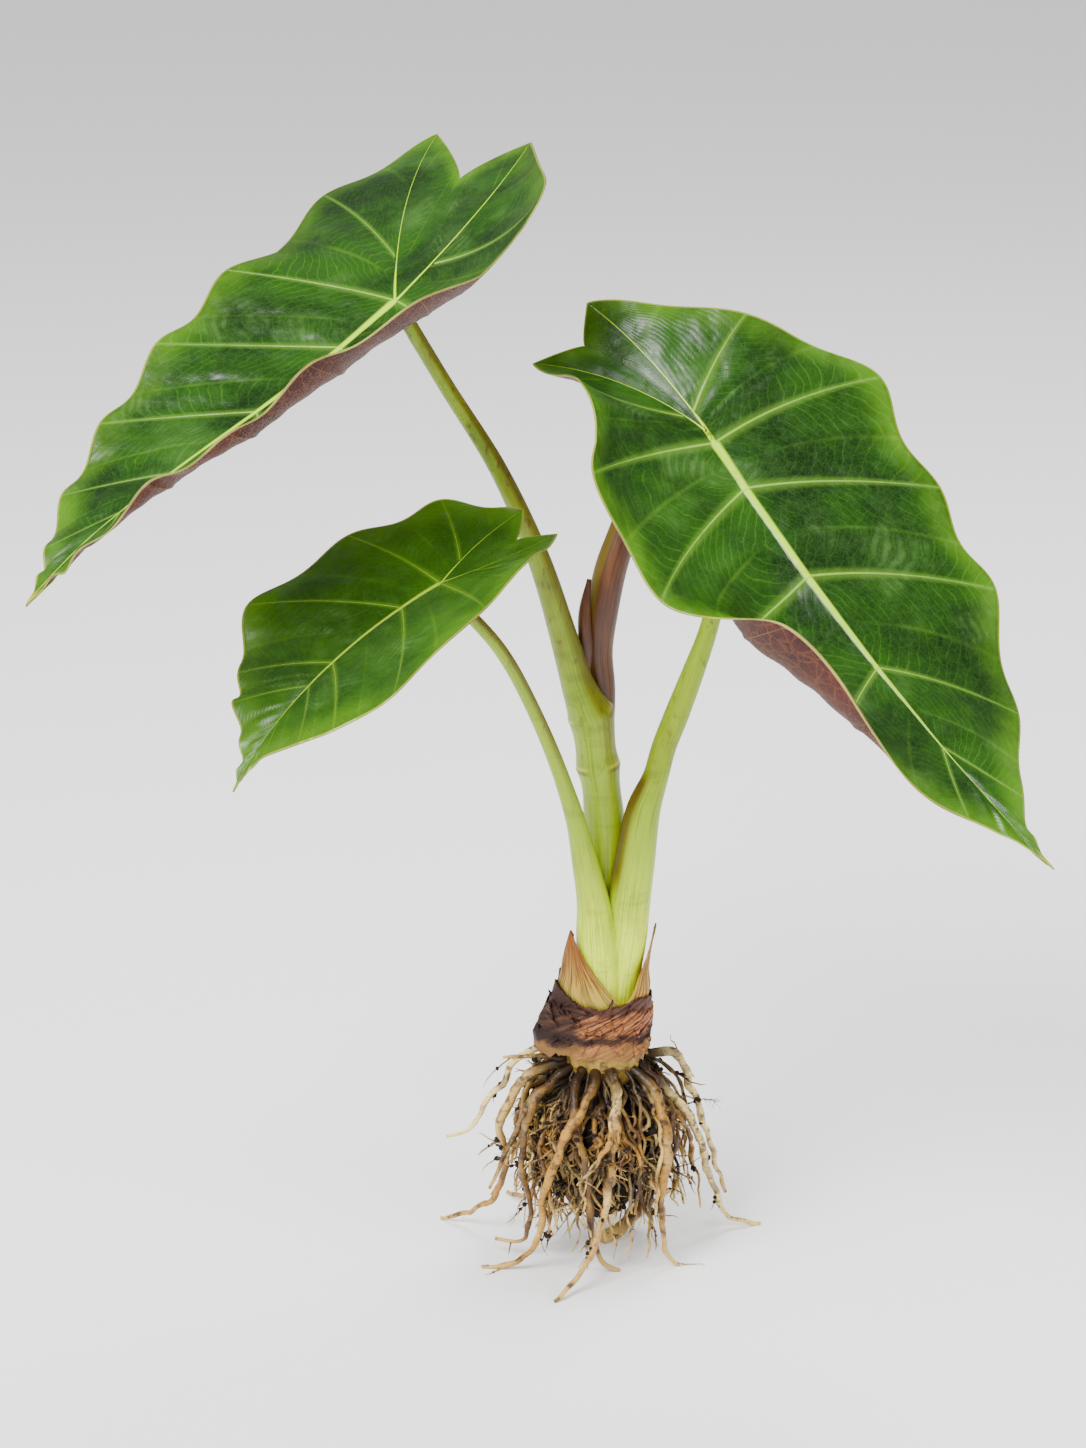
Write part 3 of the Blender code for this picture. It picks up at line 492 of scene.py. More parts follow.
def flat_point(leaf, rib, share):
    """Place on the flattened half blade of a rib number and a share from spine to margin.

    Ribs 0 to 8 run from the lobe tip round to the leaf tip, and -2 to 0 from the notch between
    the lobes back to the lobe tip.  Returns x, y and the rib's root y.
    """
    rows = np.array(leaf["rows"], float)
    numbers = np.arange(len(rows), dtype=float)
    lobe = rows[0, 1:3]
    root = np.interp(np.abs(rib), numbers, rows[:, 0])
    end = smooth_row(numbers, rows[:, 1:3], np.clip(rib, 0, numbers[-1]))
    backward = np.clip(-root, 0, 1)
    root_x = np.where(root >= 0, root, backward * lobe[0])
    root_y = backward * lobe[1] + leaf["costa_bow"] * COSTA_BOW_GAIN * backward * (1 - backward)
    inner = rib < 0
    to_notch = np.clip(-rib / 2, 0, 1)
    outer_y = end[..., 1] * (1 - leaf["scallop"] * np.sin(np.pi * rib) ** 2)
    end_x = np.where(inner, lobe[0] * (1 - to_notch) - leaf["notch"] * to_notch, end[..., 0])
    end_y = np.where(inner, lobe[1] * (1 - to_notch) ** 1.3, outer_y)
    bow = VEIN_BOW * 4 * share * (1 - share) * np.where(inner, 0, np.clip(end_y - root_y, 0, 1))
    x = root_x + (end_x - root_x) * share - bow
    y = root_y + (end_y - root_y) * share
    return x * leaf["length"], y * leaf["length"], root_y * leaf["length"]


# %% Bend the midrib
MIDRIB_SPAN = (-0.6, 1.05)
MIDRIB_SAMPLES = 400


def bend_table(leaf):
    """The midrib as it arches: distance along it, height, forward reach and slope."""
    length = leaf["length"]
    along = np.linspace(MIDRIB_SPAN[0] * length, MIDRIB_SPAN[1] * length, MIDRIB_SAMPLES)
    share = along / length
    nod = math.radians(leaf["nod"]) * np.clip(share, 0, 2) ** 3
    forward_bend = math.radians(leaf["arch"]) * share + nod
    backward_bend = math.radians(leaf["lobe_back"]) * share * 2
    slope = np.where(share >= 0, forward_bend, backward_bend)
    step = np.diff(along)
    reach = np.concatenate([[0], np.cumsum(0.5 * (np.cos(slope[1:]) + np.cos(slope[:-1])) * step)])
    height = np.concatenate([[0], np.cumsum(-0.5 * (np.sin(slope[1:]) + np.sin(slope[:-1])) * step)])
    reach -= np.interp(0, along, reach)
    height -= np.interp(0, along, height)
    return along, reach, height, slope


# %% Fine relief and the cupped half
PUFF_HEIGHT = 0.4 * MM
PUFF_FOLDS = 3
PUFF_SLANT = 0.8
BETWEEN_VEIN_DIP = 0.5 * MM
BETWEEN_VEIN_WIDTH = 0.07


def fine_lift(leaf, side, rib, share, fade_out):
    """Small relief that the solids leave out: a dip along the vein between veins, and puffs."""
    fraction = rib - np.floor(rib)
    dip = BETWEEN_VEIN_DIP * np.exp(-((fraction - 0.5) / BETWEEN_VEIN_WIDTH) ** 2)
    folds = np.sin(math.tau * (PUFF_FOLDS * fraction + PUFF_SLANT * share + 0.25 * side))
    puffs = PUFF_HEIGHT * folds * np.sin(math.pi * fraction)
    return leaf["length"] / FULL_LENGTH * 4 * share * (1 - share) * fade_out * (puffs - dip)


def cup_bend(leaf, side, rib):
    """Angle by which a cup bends a half blade further at a rib."""
    cup = leaf.get("cup")
    if cup is None or cup["side"] != side:
        return np.zeros_like(rib)
    share = np.clip((rib - cup["start"]) / (cup["end"] - cup["start"]), 0, 1)
    return math.radians(cup["angle"]) * np.sin(math.pi * share) ** 2


def chord_share(angle):
    """Length of an arc's chord as a share of the arc."""
    return np.sin(angle / 2) / (angle / 2)


# %% Any point of a blade
STRAIGHT = 1e-4
FADE_RIBS = 1.5
LOBE_FADE = 0.3


def blade_point(leaf, side, rib, share, fine=True):
    """World points of one half blade: side is 1 for the left half and -1 for the right."""
    rib, share = np.broadcast_arrays(np.asarray(rib, float), np.asarray(share, float))
    rows = np.array(leaf["rows"], float)
    numbers = np.arange(len(rows), dtype=float)
    last = numbers[-1]
    length = leaf["length"]
    column = 3 if side > 0 else 5
    x, y, root_y = flat_point(leaf, rib, share)
    fold = np.radians(smooth_row(numbers, rows[:, column], np.clip(rib, 0, last)))
    curl = np.radians(smooth_row(numbers, rows[:, column + 1], np.clip(rib, 0, last)))
    curl = np.where(np.abs(curl) < STRAIGHT, STRAIGHT, curl)
    lobe_fold = math.radians(rows[0, column])
    width = np.where(share > 1e-9, (y - root_y) / np.maximum(share, 1e-9), 0.0)
    cup = cup_bend(leaf, side, rib)
    width = width * chord_share(curl) / chord_share(curl + cup)
    fold = fold - cup / 2
    curl = curl + cup
    across = width * (np.sin(fold + curl * share) - np.sin(fold)) / curl
    rise = width * (np.cos(fold) - np.cos(fold + curl * share)) / curl
    inner = rib < 0
    out = np.where(inner, y * math.cos(lobe_fold), root_y * math.cos(lobe_fold) + across)
    lift = np.where(inner, y * math.sin(lobe_fold), root_y * math.sin(lobe_fold) + rise)
    fade_out = np.clip((last - rib) / FADE_RIBS, 0, 1) * np.clip(np.where(inner, 0, rib + LOBE_FADE), 0, 1)
    wave = leaf["wave_left"] if side > 0 else leaf["wave_right"]
    lift = lift + wave * np.cos(math.tau * rib) * share ** 2 * fade_out
    swell = QUILT_SHARE * length * np.sin(math.pi * rib) ** 2 * 4 * share * (1 - share)
    lift = lift + swell * np.clip(rib, 0, 1) * fade_out
    if fine:
        lift = lift + fine_lift(leaf, side, rib, share, fade_out)
    along, reach, height, slope = bend_table(leaf)
    tilt = np.interp(x, along, slope)
    ahead = np.interp(x, along, reach) + lift * np.sin(tilt)
    up = np.interp(x, along, height) + lift * np.cos(tilt)
    sideways = side * out + leaf["sway"] * x * np.abs(x) / length + leaf["lobe_turn"] * np.minimum(x, 0)
    midrib, left, face = leaf_frame(leaf)
    offsets = ahead[..., None] * midrib + sideways[..., None] * left + up[..., None] * face
    return np.array(leaf["node"]) + offsets


# %% [markdown]
# Each half is one grid, so that the side veins run along its rows and can be told from the row
# number. Every point keeps three numbers for the materials: how far it is from the spine and from
# the nearest side vein, counted in vein widths, and its distance from the margin.

# %% Sizes of the veins
RIB_FINENESS = 22
SHARE_FINENESS = 36
BLADE_THICKNESS = 0.5 * MM
RIDGE_LIMIT = 3.0 * MM
MIDRIB_HALF_WIDTH = 2.2 * MM
COSTA_HALF_WIDTH = 1.25 * MM
SIDE_VEIN_HALF_WIDTH = 0.95 * MM
SIDE_VEIN_TAPER = 0.72
SIDE_VEINS = (1, 6)
FAR = 50.0
RIB_STEP = 0.02


def spine_half_width(rib, last):
    """Half width of the midrib, and behind the node of the ribs into the lobes."""
    forward_share = np.clip((rib - 2) / (last - 2), 0, 1)
    back_share = np.clip(1 - np.abs(rib) / 2, 0, 1)
    midrib = MIDRIB_HALF_WIDTH * (1 - 0.8 * forward_share ** 0.8)
    costa = COSTA_HALF_WIDTH * (1 - 0.85 * back_share)
    return np.where(rib >= 2, midrib, costa)


# %% One half of a blade
def half_blade(leaf, side):
    """One half of a blade, with its vein distances marked and its UV map unfolded to one side."""
    last = len(leaf["rows"]) - 1
    ribs = last - NOTCH_RIB
    size = leaf["length"] / FULL_LENGTH

    def shape(u, v):
        return blade_point(leaf, side, NOTCH_RIB + v * ribs, u)

    half, share, v = bent_grid("half", SHARE_FINENESS, ribs * RIB_FINENESS, shape)
    rib = NOTCH_RIB + v * ribs
    root = blade_point(leaf, side, rib, 0 * share, fine=False)
    edge = blade_point(leaf, side, rib, 0 * share + 1, fine=False)
    width = np.linalg.norm(edge - root, axis=1)
    ahead = blade_point(leaf, side, rib + RIB_STEP, share, fine=False)
    behind = blade_point(leaf, side, rib - RIB_STEP, share, fine=False)
    spacing = np.linalg.norm(ahead - behind, axis=1) / (2 * RIB_STEP)
    nearest = np.clip(np.round(rib), *SIDE_VEINS)
    vein_width = SIDE_VEIN_HALF_WIDTH * size * (1 - SIDE_VEIN_TAPER * share) * (1 - 0.35 * (nearest >= 5))
    side_gap = np.abs(rib - nearest) * spacing / vein_width
    side_gap = np.where(rib < 0, FAR, side_gap)
    mark(half, "spine", width * share / (spine_half_width(rib, last) * size))
    mark(half, "side_vein", side_gap)
    mark(half, "margin", width * (1 - share) / MM)
    layer = half.data.uv_layers[0].data
    values = np.empty(len(layer) * 2)
    layer.foreach_get("uv", values)
    values[0::2] = 0.5 + 0.5 * side * values[0::2]
    layer.foreach_set("uv", values)
    return half


# %% Join the halves and thicken them
MIDRIB_RIDGE = 1.5 * MM
MIDRIB_RIDGE_WIDTH = 0.8
SIDE_RIDGE = 0.5 * MM
SIDE_RIDGE_WIDTH = 1.1
RIDGE_FREE_MARGIN = 6


def read_mark(piece, name):
    values = np.empty(len(piece.data.vertices))
    piece.data.attributes[name].data.foreach_get("value", values)
    return values


def build_blade(name):
    """The whole blade: two halves joined, given a thickness with the veins raised below."""
    leaf = LEAVES[name]
    piece = join("leaf_" + name, [half_blade(leaf, 1), half_blade(leaf, -1)])
    close_seams(piece)
    if face_rows(piece, "normal").mean(axis=0) @ leaf_frame(leaf)[2] < 0:
        piece.data.flip_normals()
    ridge = MIDRIB_RIDGE * np.exp(-(read_mark(piece, "spine") / MIDRIB_RIDGE_WIDTH) ** 2)
    ridge += SIDE_RIDGE * np.exp(-(read_mark(piece, "side_vein") / SIDE_RIDGE_WIDTH) ** 2)
    ridge *= np.clip(read_mark(piece, "margin") / RIDGE_FREE_MARGIN, 0, 1) * leaf["length"] / FULL_LENGTH
    group = piece.vertex_groups.new(name="thickness")
    for index, weight in enumerate((BLADE_THICKNESS + ridge) / RIDGE_LIMIT):
        group.add([index], float(weight), "REPLACE")
    thick = piece.modifiers.new("Thickness", "SOLIDIFY")
    thick.thickness = RIDGE_LIMIT
    thick.offset = -1
    thick.vertex_group = group.name
    thick.material_offset = 1
    thick.material_offset_rim = 2
    return piece


# %% [markdown]
# The upper face is deep green, lighter to the margin, with pale veins and patches of painted sheen.
# The small veins leave the side veins at a slant and meet halfway to the next one, so their lines
# are drawn in the blade's own coordinates: faint rows of chevrons between each pair of side veins.
# The underside is purple-brown with a tan net, and a fine yellow-green line runs round the margin.

# %% Masks of a blade
CHEVRON_SLANT = 8.0
CHEVRON_BEND = 1.25
CHEVRON_COUNT = 15.0
CHEVRON_WANDER = 4.4


def vein_masks(tree):
    """Masks of a blade: spine, side veins, small veins, their puffs, margin line and net."""
    x, y, _ = split(tree, surface_place(tree))
    share = product(tree, maths(tree, "ABSOLUTE", maths(tree, "SUBTRACT", x, 0.5)), 2.0)
    rib = maths(tree, "ABSOLUTE", scaled(tree, y, LAST_RIB - NOTCH_RIB, NOTCH_RIB))
    fraction = maths(tree, "FRACT", rib)
    away = maths(tree, "ABSOLUTE", maths(tree, "SUBTRACT", fraction, 0.5))
    place = object_place(tree)
    wander = scaled(tree, noise_value(tree, place, 34, 3), CHEVRON_WANDER, -CHEVRON_WANDER / 2)
    slanted = product(tree, maths(tree, "POWER", away, CHEVRON_BEND), CHEVRON_SLANT)
    count = scaled(tree, share, CHEVRON_COUNT, slanted)
    turn = maths(tree, "FRACT", maths(tree, "ADD", count, wander))
    from_line = maths(tree, "ABSOLUTE", maths(tree, "SUBTRACT", turn, 0.5))
    small = fade(tree, from_line, 0.0, 0.10, 1.0, 0.0)
    between = fade(tree, away, 0.0, 0.035, 1.0, 0.0)
    small = maths(tree, "MAXIMUM", small, product(tree, between, fade(tree, share, 0.0, 0.3)))
    puff = fade(tree, from_line, 0.0, 0.45)
    spine = fade(tree, marked(tree, "spine"), 0.45, 1.15, 1.0, 0.0)
    side = fade(tree, marked(tree, "side_vein"), 0.1, 0.8, 1.0, 0.0)
    halo = fade(tree, marked(tree, "side_vein"), 0.2, 4.5, 1.0, 0.0)
    margin = marked(tree, "margin")
    net = use_group(tree, vein_net, place, Scale=430.0, Width=0.08)
    return dict(spine=spine, side=side, halo=halo, small=small, puff=puff, margin=margin, net=net,
                rib=rib, share=share, place=place)


# %% Upper face of a blade
TIP_RIBS = (7.45, 7.9, 7.97)


def upper_face(name, deep, middle, light, vein, node_vein):
    """Glossy upper face of a blade."""
    material, tree, shader = new_material(name, roughness=0.34, coat=0.2, coat_roughness=0.3)
    masks = vein_masks(tree)
    cloud = use_group(tree, mottling, masks["place"], Scale=26.0, Low=0.36, High=0.66)
    speckle = use_group(tree, mottling, masks["place"], Scale=240.0, Low=0.3, High=0.75)
    outward = product(tree, fade(tree, masks["margin"], 1.0, 14.0, 0.6, 0.0), scaled(tree, cloud, 0.6, 0.4))
    hair_strength = fade(tree, cloud, 0.0, 1.0, 0.04, 0.13)
    side_strength = scaled(tree, masks["share"], -0.45, 0.95)
    spine_shade = blend(tree, fade(tree, masks["rib"], 3.0, 8.0, 1.0, 0.2), vein, node_vein)
    yellow_tip = fade(tree, masks["rib"], TIP_RIBS[0], TIP_RIBS[1], 0.0, 0.8)
    dark_point = fade(tree, masks["rib"], TIP_RIBS[1], TIP_RIBS[2], 0.0, 0.9)
    # Painted sheen: pale grey-green patches over the puffs stand in for the satin highlights of the glossy
    # face.
    sheen_cloud = noise_value(tree, masks["place"], 38, 4, 0.6)
    painted_sheen = fade(tree, sheen_cloud, 0.50, 0.74, 0.0, 0.24)
    painted_sheen = product(tree, painted_sheen, scaled(tree, masks["puff"], 0.8, 0.2))
    shade = covered(
        tree, blend(tree, cloud, deep, middle),
        (speckle, 0.35, middle),
        (outward, 1, light),
        (masks["net"], 0.10, light),
        (product(tree, masks["small"], hair_strength), 1, vein),
        (masks["halo"], 0.22, vein),
        (product(tree, masks["side"], side_strength), 1, vein),
        (masks["spine"], 1, spine_shade),
        (fade(tree, masks["margin"], 0.35, 0.9, 0.85, 0.0), 1, srgb(140, 152, 40)),
        (yellow_tip, 1, srgb(196, 186, 40)),
        (dark_point, 1, srgb(52, 34, 12)),
        (painted_sheen, 1, srgb(112, 158, 78)))
    tree.links.new(shade, shader.inputs["Base Color"])
    tree.links.new(scaled(tree, speckle, 0.14, 0.30), shader.inputs["Roughness"])
    height = product(tree, noise_value(tree, masks["place"], 60, 2, 0.5), 5.0)
    crinkle = noise_value(tree, masks["place"], 420, 3)
    for bump, gain in ((masks["puff"], 0.06), (masks["net"], -0.03), (masks["side"], 0.35),
                       (masks["spine"], 0.7), (crinkle, 0.04)):
        height = scaled(tree, bump, gain, height)
    relief(tree, shader, height, 0.9 * MM, 0.75)
    return material


# %% Underside of a blade
def under_face(name):
    """Purple-brown underside with a tan net of veins."""
    material, tree, shader = new_material(name, roughness=0.55, specular=0.2)
    masks = vein_masks(tree)
    cloud = use_group(tree, mottling, masks["place"], Scale=55.0, Low=0.3, High=0.7)
    coarse_net = use_group(tree, vein_net, masks["place"], Scale=170.0, Width=0.10)
    shade = covered(
        tree, blend(tree, cloud, srgb(42, 14, 14), srgb(72, 28, 22)),
        (masks["net"], 0.3, srgb(104, 60, 36)),
        (coarse_net, 0.35, srgb(112, 68, 40)),
        (masks["small"], 0.25, srgb(98, 56, 34)),
        (masks["side"], 0.6, srgb(118, 96, 52)),
        (masks["spine"], 0.85, srgb(120, 126, 48)),
        (fade(tree, masks["margin"], 0.4, 1.1, 0.9, 0.0), 1, srgb(170, 156, 90)))
    tree.links.new(shade, shader.inputs["Base Color"])
    height = scaled(tree, masks["net"], 0.25, product(tree, masks["small"], 0.3))
    relief(tree, shader, height, 0.6 * MM, 0.6)
    return material


# %% Leaf materials: deep, middle and light green, veins, and the midrib near its node
leaf_upper = upper_face("leaf_upper", srgb(4, 34, 0), srgb(30, 74, 0), srgb(84, 134, 0),
                        srgb(128, 178, 50), srgb(176, 220, 0))
young_leaf_upper = upper_face("young_leaf_upper", srgb(24, 64, 0), srgb(46, 92, 0), srgb(82, 128, 0),
                              srgb(120, 164, 24), srgb(156, 194, 24))
leaf_under = under_face("leaf_under")
leaf_margin, tree, shader = new_material("leaf_margin", roughness=0.5)
margin_cloud = use_group(tree, mottling, object_place(tree), Scale=40.0, Low=0.3, High=0.7)
margin_shade = blend(tree, margin_cloud, srgb(150, 160, 60), srgb(104, 88, 34))
tree.links.new(margin_shade, shader.inputs["Base Color"])

# %% Make the three blades
for leaf_name in LEAVES:
    blade = build_blade(leaf_name)
    face = young_leaf_upper if leaf_name == "blade_3" else leaf_upper
    finish_piece(blade, [leaf_name], leaf_name, face, leaf_under, leaf_margin)

# %% [markdown]
# ## Stalks
# Each leaf stands on a petiole, thick and sheathing at its foot and slender above. The petioles are
# grids rolled into tubes along the same middle lines as the solids. The first one is a false stem
# with two ring scars, and the youngest leaf stands in it, still rolled into a spear.

# %% Routes of the stalks, in millimetres: x, y, z and radius
PETIOLE_ROUTES = {
    "petiole_1": (
        (0, 6, 96, 7.6), (0, 7, 120, 7.8), (0, 7, 138, 7.7), (0, 7, 164, 7.5), (-2, 6, 184, 7.7),
        (-2.3, 5.9, 186, 8.2), (-2.6, 5.8, 188, 7.8), (-4.7, 4.2, 204, 8.3), (-5.2, 4, 206.5, 8.7),
        (-6.4, 3.2, 209, 7.7), (-9.5, 2, 217, 6.2), (-14, 0, 233, 5.2), (-23.7, -5, 266, 4.1),
        (-38, -10, 300, 3.2), (-56, -15, 331, 2.8)),
    "petiole_2": (
        (4, -2, 94, 8.6), (6.3, -2, 112, 7.7), (8, -2, 124, 7.8), (9, -2, 136, 7.8), (11, -2, 152, 7.4),
        (14.5, -1, 173, 6.1), (18.5, 0, 184, 4.7), (21, 2, 193, 4.5), (26, 4, 206, 4.5), (31, 6, 219, 4.1),
        (37, 8, 236, 3.4), (42, 8, 262, 3.2), (41, 0, 290, 3.1)),
    "petiole_3": (
        (-2, -5, 94, 8.6), (-2, -6, 113, 8.0), (-3, -6, 127, 7.3), (-4, -6, 137, 6.1), (-7, -7, 153, 4.8),
        (-10.5, -10, 170, 3.6), (-14.5, -13, 184, 3.0), (-19, -17, 198, 2.7), (-25, -22, 214, 2.5),
        (-37, -32, 240, 2.4)),
}
# The blade that each petiole carries, and the petiole's radius there.
PETIOLE_TOPS = {"petiole_1": ("blade_1", 2.7), "petiole_2": ("blade_2", 3.0), "petiole_3": ("blade_3", 2.2)}
SPEAR_ROUTE = (
    (-1, 9, 194, 4.2), (-1, 9, 214, 4.8), (-2.4, 9, 228, 5.2), (-1, 9, 244, 5.8), (1.7, 10, 258, 5.8),
    (6.3, 12, 272, 5.2), (12, 15, 290, 3.8), (18, 19, 312, 1.9), (21, 21, 324, 0.9))
SPEAR_SCALE_ROUTE = (
    (-6.8, 4.2, 222, 1.8), (-7.0, 3.8, 232, 2.6), (-7.4, 4.0, 244, 2.2), (-5.8, 5.2, 256, 0.8))
STALK_SIDES = 40
STALK_STEP = 2.0
STALK_GAP = 0.7


# %% Roll a grid into a stalk
def stalk(name, rows, swell=None):
    """A grid rolled round a route; swell(angle share, height in mm) scales the radius."""
    line = route(rows, STALK_STEP)
    across, up = ring_frames(line[:, :3])
    last = len(line) - 1

    def shape(u, v):
        ring = np.round(v * last).astype(int)
        angle = math.tau * u
        radius = line[ring, 3]
        if swell:
            radius = radius * swell(u, line[ring, 2])
        outward = np.cos(angle)[:, None] * across[ring] + np.sin(angle)[:, None] * up[ring]
        return (line[ring, :3] + radius[:, None] * outward) * MM

    piece, u, v = bent_grid(name, STALK_SIDES, last, shape)
    mark(piece, "height", line[np.round(v * last).astype(int), 2])
    close_seams(piece, fill=True)
    return piece


def top_row(leaf_name, radius):
    """The end of a petiole, just inside the blade's midrib ridge."""
    leaf = LEAVES[leaf_name]
    point = np.array(leaf["node"]) / MM - leaf_frame(leaf)[2] * (STALK_GAP + radius)
    return (*point, radius)


# %% [markdown]
# The stalks are lime green, palest at the foot and darker above, with fine lengthwise streaks and
# purple-brown flecks. Two ring scars of older leaves cross the false stem. Some tints lie on one
# side of a stalk only, among them painted shade in purple-brown down the left flank, so each point
# also keeps how far left of the stalk's middle it is.

# %% Sizes and sides of the petiole tints
# Each ring scar: its height on the stalk and how wide its pale line is, in millimetres.
RING_SCARS = ((187.0, 1.0), (207.0, 1.3))
BROWN_RING_BELOW = 1.4


def one_side(tree, side, *limits):
    """A tint on one side of a stalk, kept within limits of place or height."""
    return product(tree, side, *(fade(tree, *limit) for limit in limits))


# %% Petiole material
def petiole_material(name, pale, green, dark, purple):
    """Lime-green stalk: paler foot, darker top, fine streaks, cross marks and purple-brown tints, one of them
    painted shade down the left flank.
    """
    material, tree, shader = new_material(name, roughness=0.42, specular=0.3, coat=0.1, coat_roughness=0.35)
    place = object_place(tree)
    x, y, _ = split(tree, place)
    height = marked(tree, "height")
    grain = use_group(tree, streaks, surface_place(tree), Around=70.0, Along=7.0)
    upright = stretched(tree, place, (1.0, 1.0, 0.35))
    patches = use_group(tree, mottling, upright, Scale=110.0, Low=0.4, High=0.62)
    level = stretched(tree, place, (0.3, 0.3, 1.0))
    bands = use_group(tree, mottling, level, Scale=180.0, Low=0.5, High=0.7)
    tint_cloud = noise_value(tree, stretched(tree, place, (1, 1, 0.3)), 45, 3)
    lines = use_group(tree, streaks, surface_place(tree), Around=190.0, Along=5.0)
    pale_lines = product(tree, fade(tree, lines, 0.5, 0.66), fade(tree, height, 100.0, 175.0, 0.42, 0.1))
    short = stretched(tree, place, (1.0, 1.0, 0.4))
    flecks = use_group(tree, mottling, short, Scale=420.0, Low=0.56, High=0.66)
    shade = covered(
        tree, blend(tree, fade(tree, height, 100.0, 172.0), pale, green),
        (fade(tree, height, 170.0, 300.0, 0.0, 0.65), 1, dark),
        (patches, 0.45, green),
        (fade(tree, grain, 0.45, 0.7, 0.0, 0.45), 1, dark),
        (bands, 0.28, dark),
        (fade(tree, tint_cloud, 0.52, 0.72, 0.0, 0.35), 1, purple),
        (pale_lines, 1, srgb(250, 252, 60)),
        (product(tree, flecks, fade(tree, height, 150.0, 260.0, 0.1, 0.6)), 1, purple))
    on_stem = one_side(tree, fade(tree, x, 8.0 * MM, 10.0 * MM, 1.0, 0.0), (y, -2.0 * MM, 0.0))
    for scar_height, scar_width in RING_SCARS:
        above = maths(tree, "SUBTRACT", height, scar_height)
        from_pale = maths(tree, "ABSOLUTE", above)
        from_brown = maths(tree, "ABSOLUTE", maths(tree, "ADD", above, BROWN_RING_BELOW))
        shade = covered(
            tree, shade,
            (product(tree, fade(tree, from_pale, 0.3, scar_width, 0.5, 0.0), on_stem), 1, srgb(232, 222, 70)),
            (product(tree, fade(tree, from_brown, 0.3, 1.3, 0.6, 0.0), on_stem), 1, purple))
    left_side = marked(tree, "left_side")
    stem_side = one_side(tree, fade(tree, left_side, -0.1, -0.8),
                         (x, 8.0 * MM, 12.0 * MM, 1.0, 0.0), (height, 165.0, 212.0, 0.0, 0.8))
    # Painted shade: a purple-brown band down the left flank of the stalks, 132 to 186 mm up, where they pass
    # each other.
    painted_shade_flank = one_side(tree, fade(tree, left_side, 0.35, 0.85, 0.0, 0.85), (x, 0.0, 2.0 * MM),
                           (height, 132.0, 150.0), (height, 180.0, 186.0, 1.0, 0.0))
    shade = covered(
        tree, shade,
        (product(tree, stem_side, scaled(tree, grain, 0.8, 0.4)), 1, purple),
        (painted_shade_flank, 1, purple))
    tree.links.new(shade, shader.inputs["Base Color"])
    relief(tree, shader, scaled(tree, patches, 0.2, grain), 0.35 * MM, 0.5)
    return material


petiole_green = petiole_material("petiole_green", srgb(228, 250, 0), srgb(150, 180, 0), srgb(66, 88, 0),
                                 srgb(84, 44, 10))

# %% Material of the rolled leaf
spear_brown, tree, shader = new_material("spear_brown", roughness=0.45)
spear_grain = use_group(tree, streaks, surface_place(tree), Around=55.0, Along=3.0)
spear_place = stretched(tree, object_place(tree), (1, 1, 0.25))
spear_cloud = use_group(tree, mottling, spear_place, Scale=120.0, Low=0.35, High=0.7)
spear_shade = covered(
    tree, blend(tree, spear_cloud, srgb(76, 36, 8), srgb(112, 64, 18)),
    (fade(tree, spear_grain, 0.4, 0.7), 1, srgb(50, 22, 6)),
    (fade(tree, marked(tree, "left_side"), 0.35, 0.75), 1, srgb(108, 88, 8)))
tree.links.new(spear_shade, shader.inputs["Base Color"])
relief(tree, shader, spear_grain, 0.3 * MM, 0.5)

# %% Make the stalks
def mark_left_side(piece, rows):
    """Mark how far left of its own middle line each point of a stalk lies, in radii."""
    points = points_of(piece) / MM
    line = route(rows, STALK_STEP)
    middle = np.interp(points[:, 2], line[:, 2], line[:, 0])
    radius = np.interp(points[:, 2], line[:, 2], line[:, 3])
    mark(piece, "left_side", (middle - points[:, 0]) / radius)


for stalk_name, rows in PETIOLE_ROUTES.items():
    leaf_name, end_radius = PETIOLE_TOPS[stalk_name]
    full_route = list(rows) + [top_row(leaf_name, end_radius)]
    piece = stalk(stalk_name + "_stalk", full_route)
    mark_left_side(piece, full_route)
    finish_piece(piece, [stalk_name], stalk_name, petiole_green)


# %% Make the rolled leaf and its scale
ROLL_PITCH = 260
ROLL_INSIDE = 0.95
ROLL_STEP = 0.09


def rolled(u, height):
    """One edge of the rolled leaf lies over the other: a low step that winds up the spear."""
    return ROLL_INSIDE + ROLL_STEP * ((u + height / ROLL_PITCH) % 1.0)


spear = stalk("rolled_leaf", SPEAR_ROUTE, rolled)
mark_left_side(spear, SPEAR_ROUTE)
finish_piece(spear, ["new_leaf"], "new_leaf", spear_brown)

spear_scale = stalk("rolled_leaf_scale", SPEAR_SCALE_ROUTE)
mark(spear_scale, "left_side", np.zeros(len(spear_scale.data.vertices)))
finish_piece(spear_scale, ["new_leaf_scale"], "new_leaf_scale", spear_brown)

# %% [markdown]
# ## Dry scales
# Old leaf bases dry to brown paper round the stem. Two end in points, and older ones are torn into
# a ragged band with loose flakes on it. Each is a grid wrapped round the stem, rippled lengthwise,
# with a torn upper edge, and a Solidify modifier gives it the thickness of the real skin.

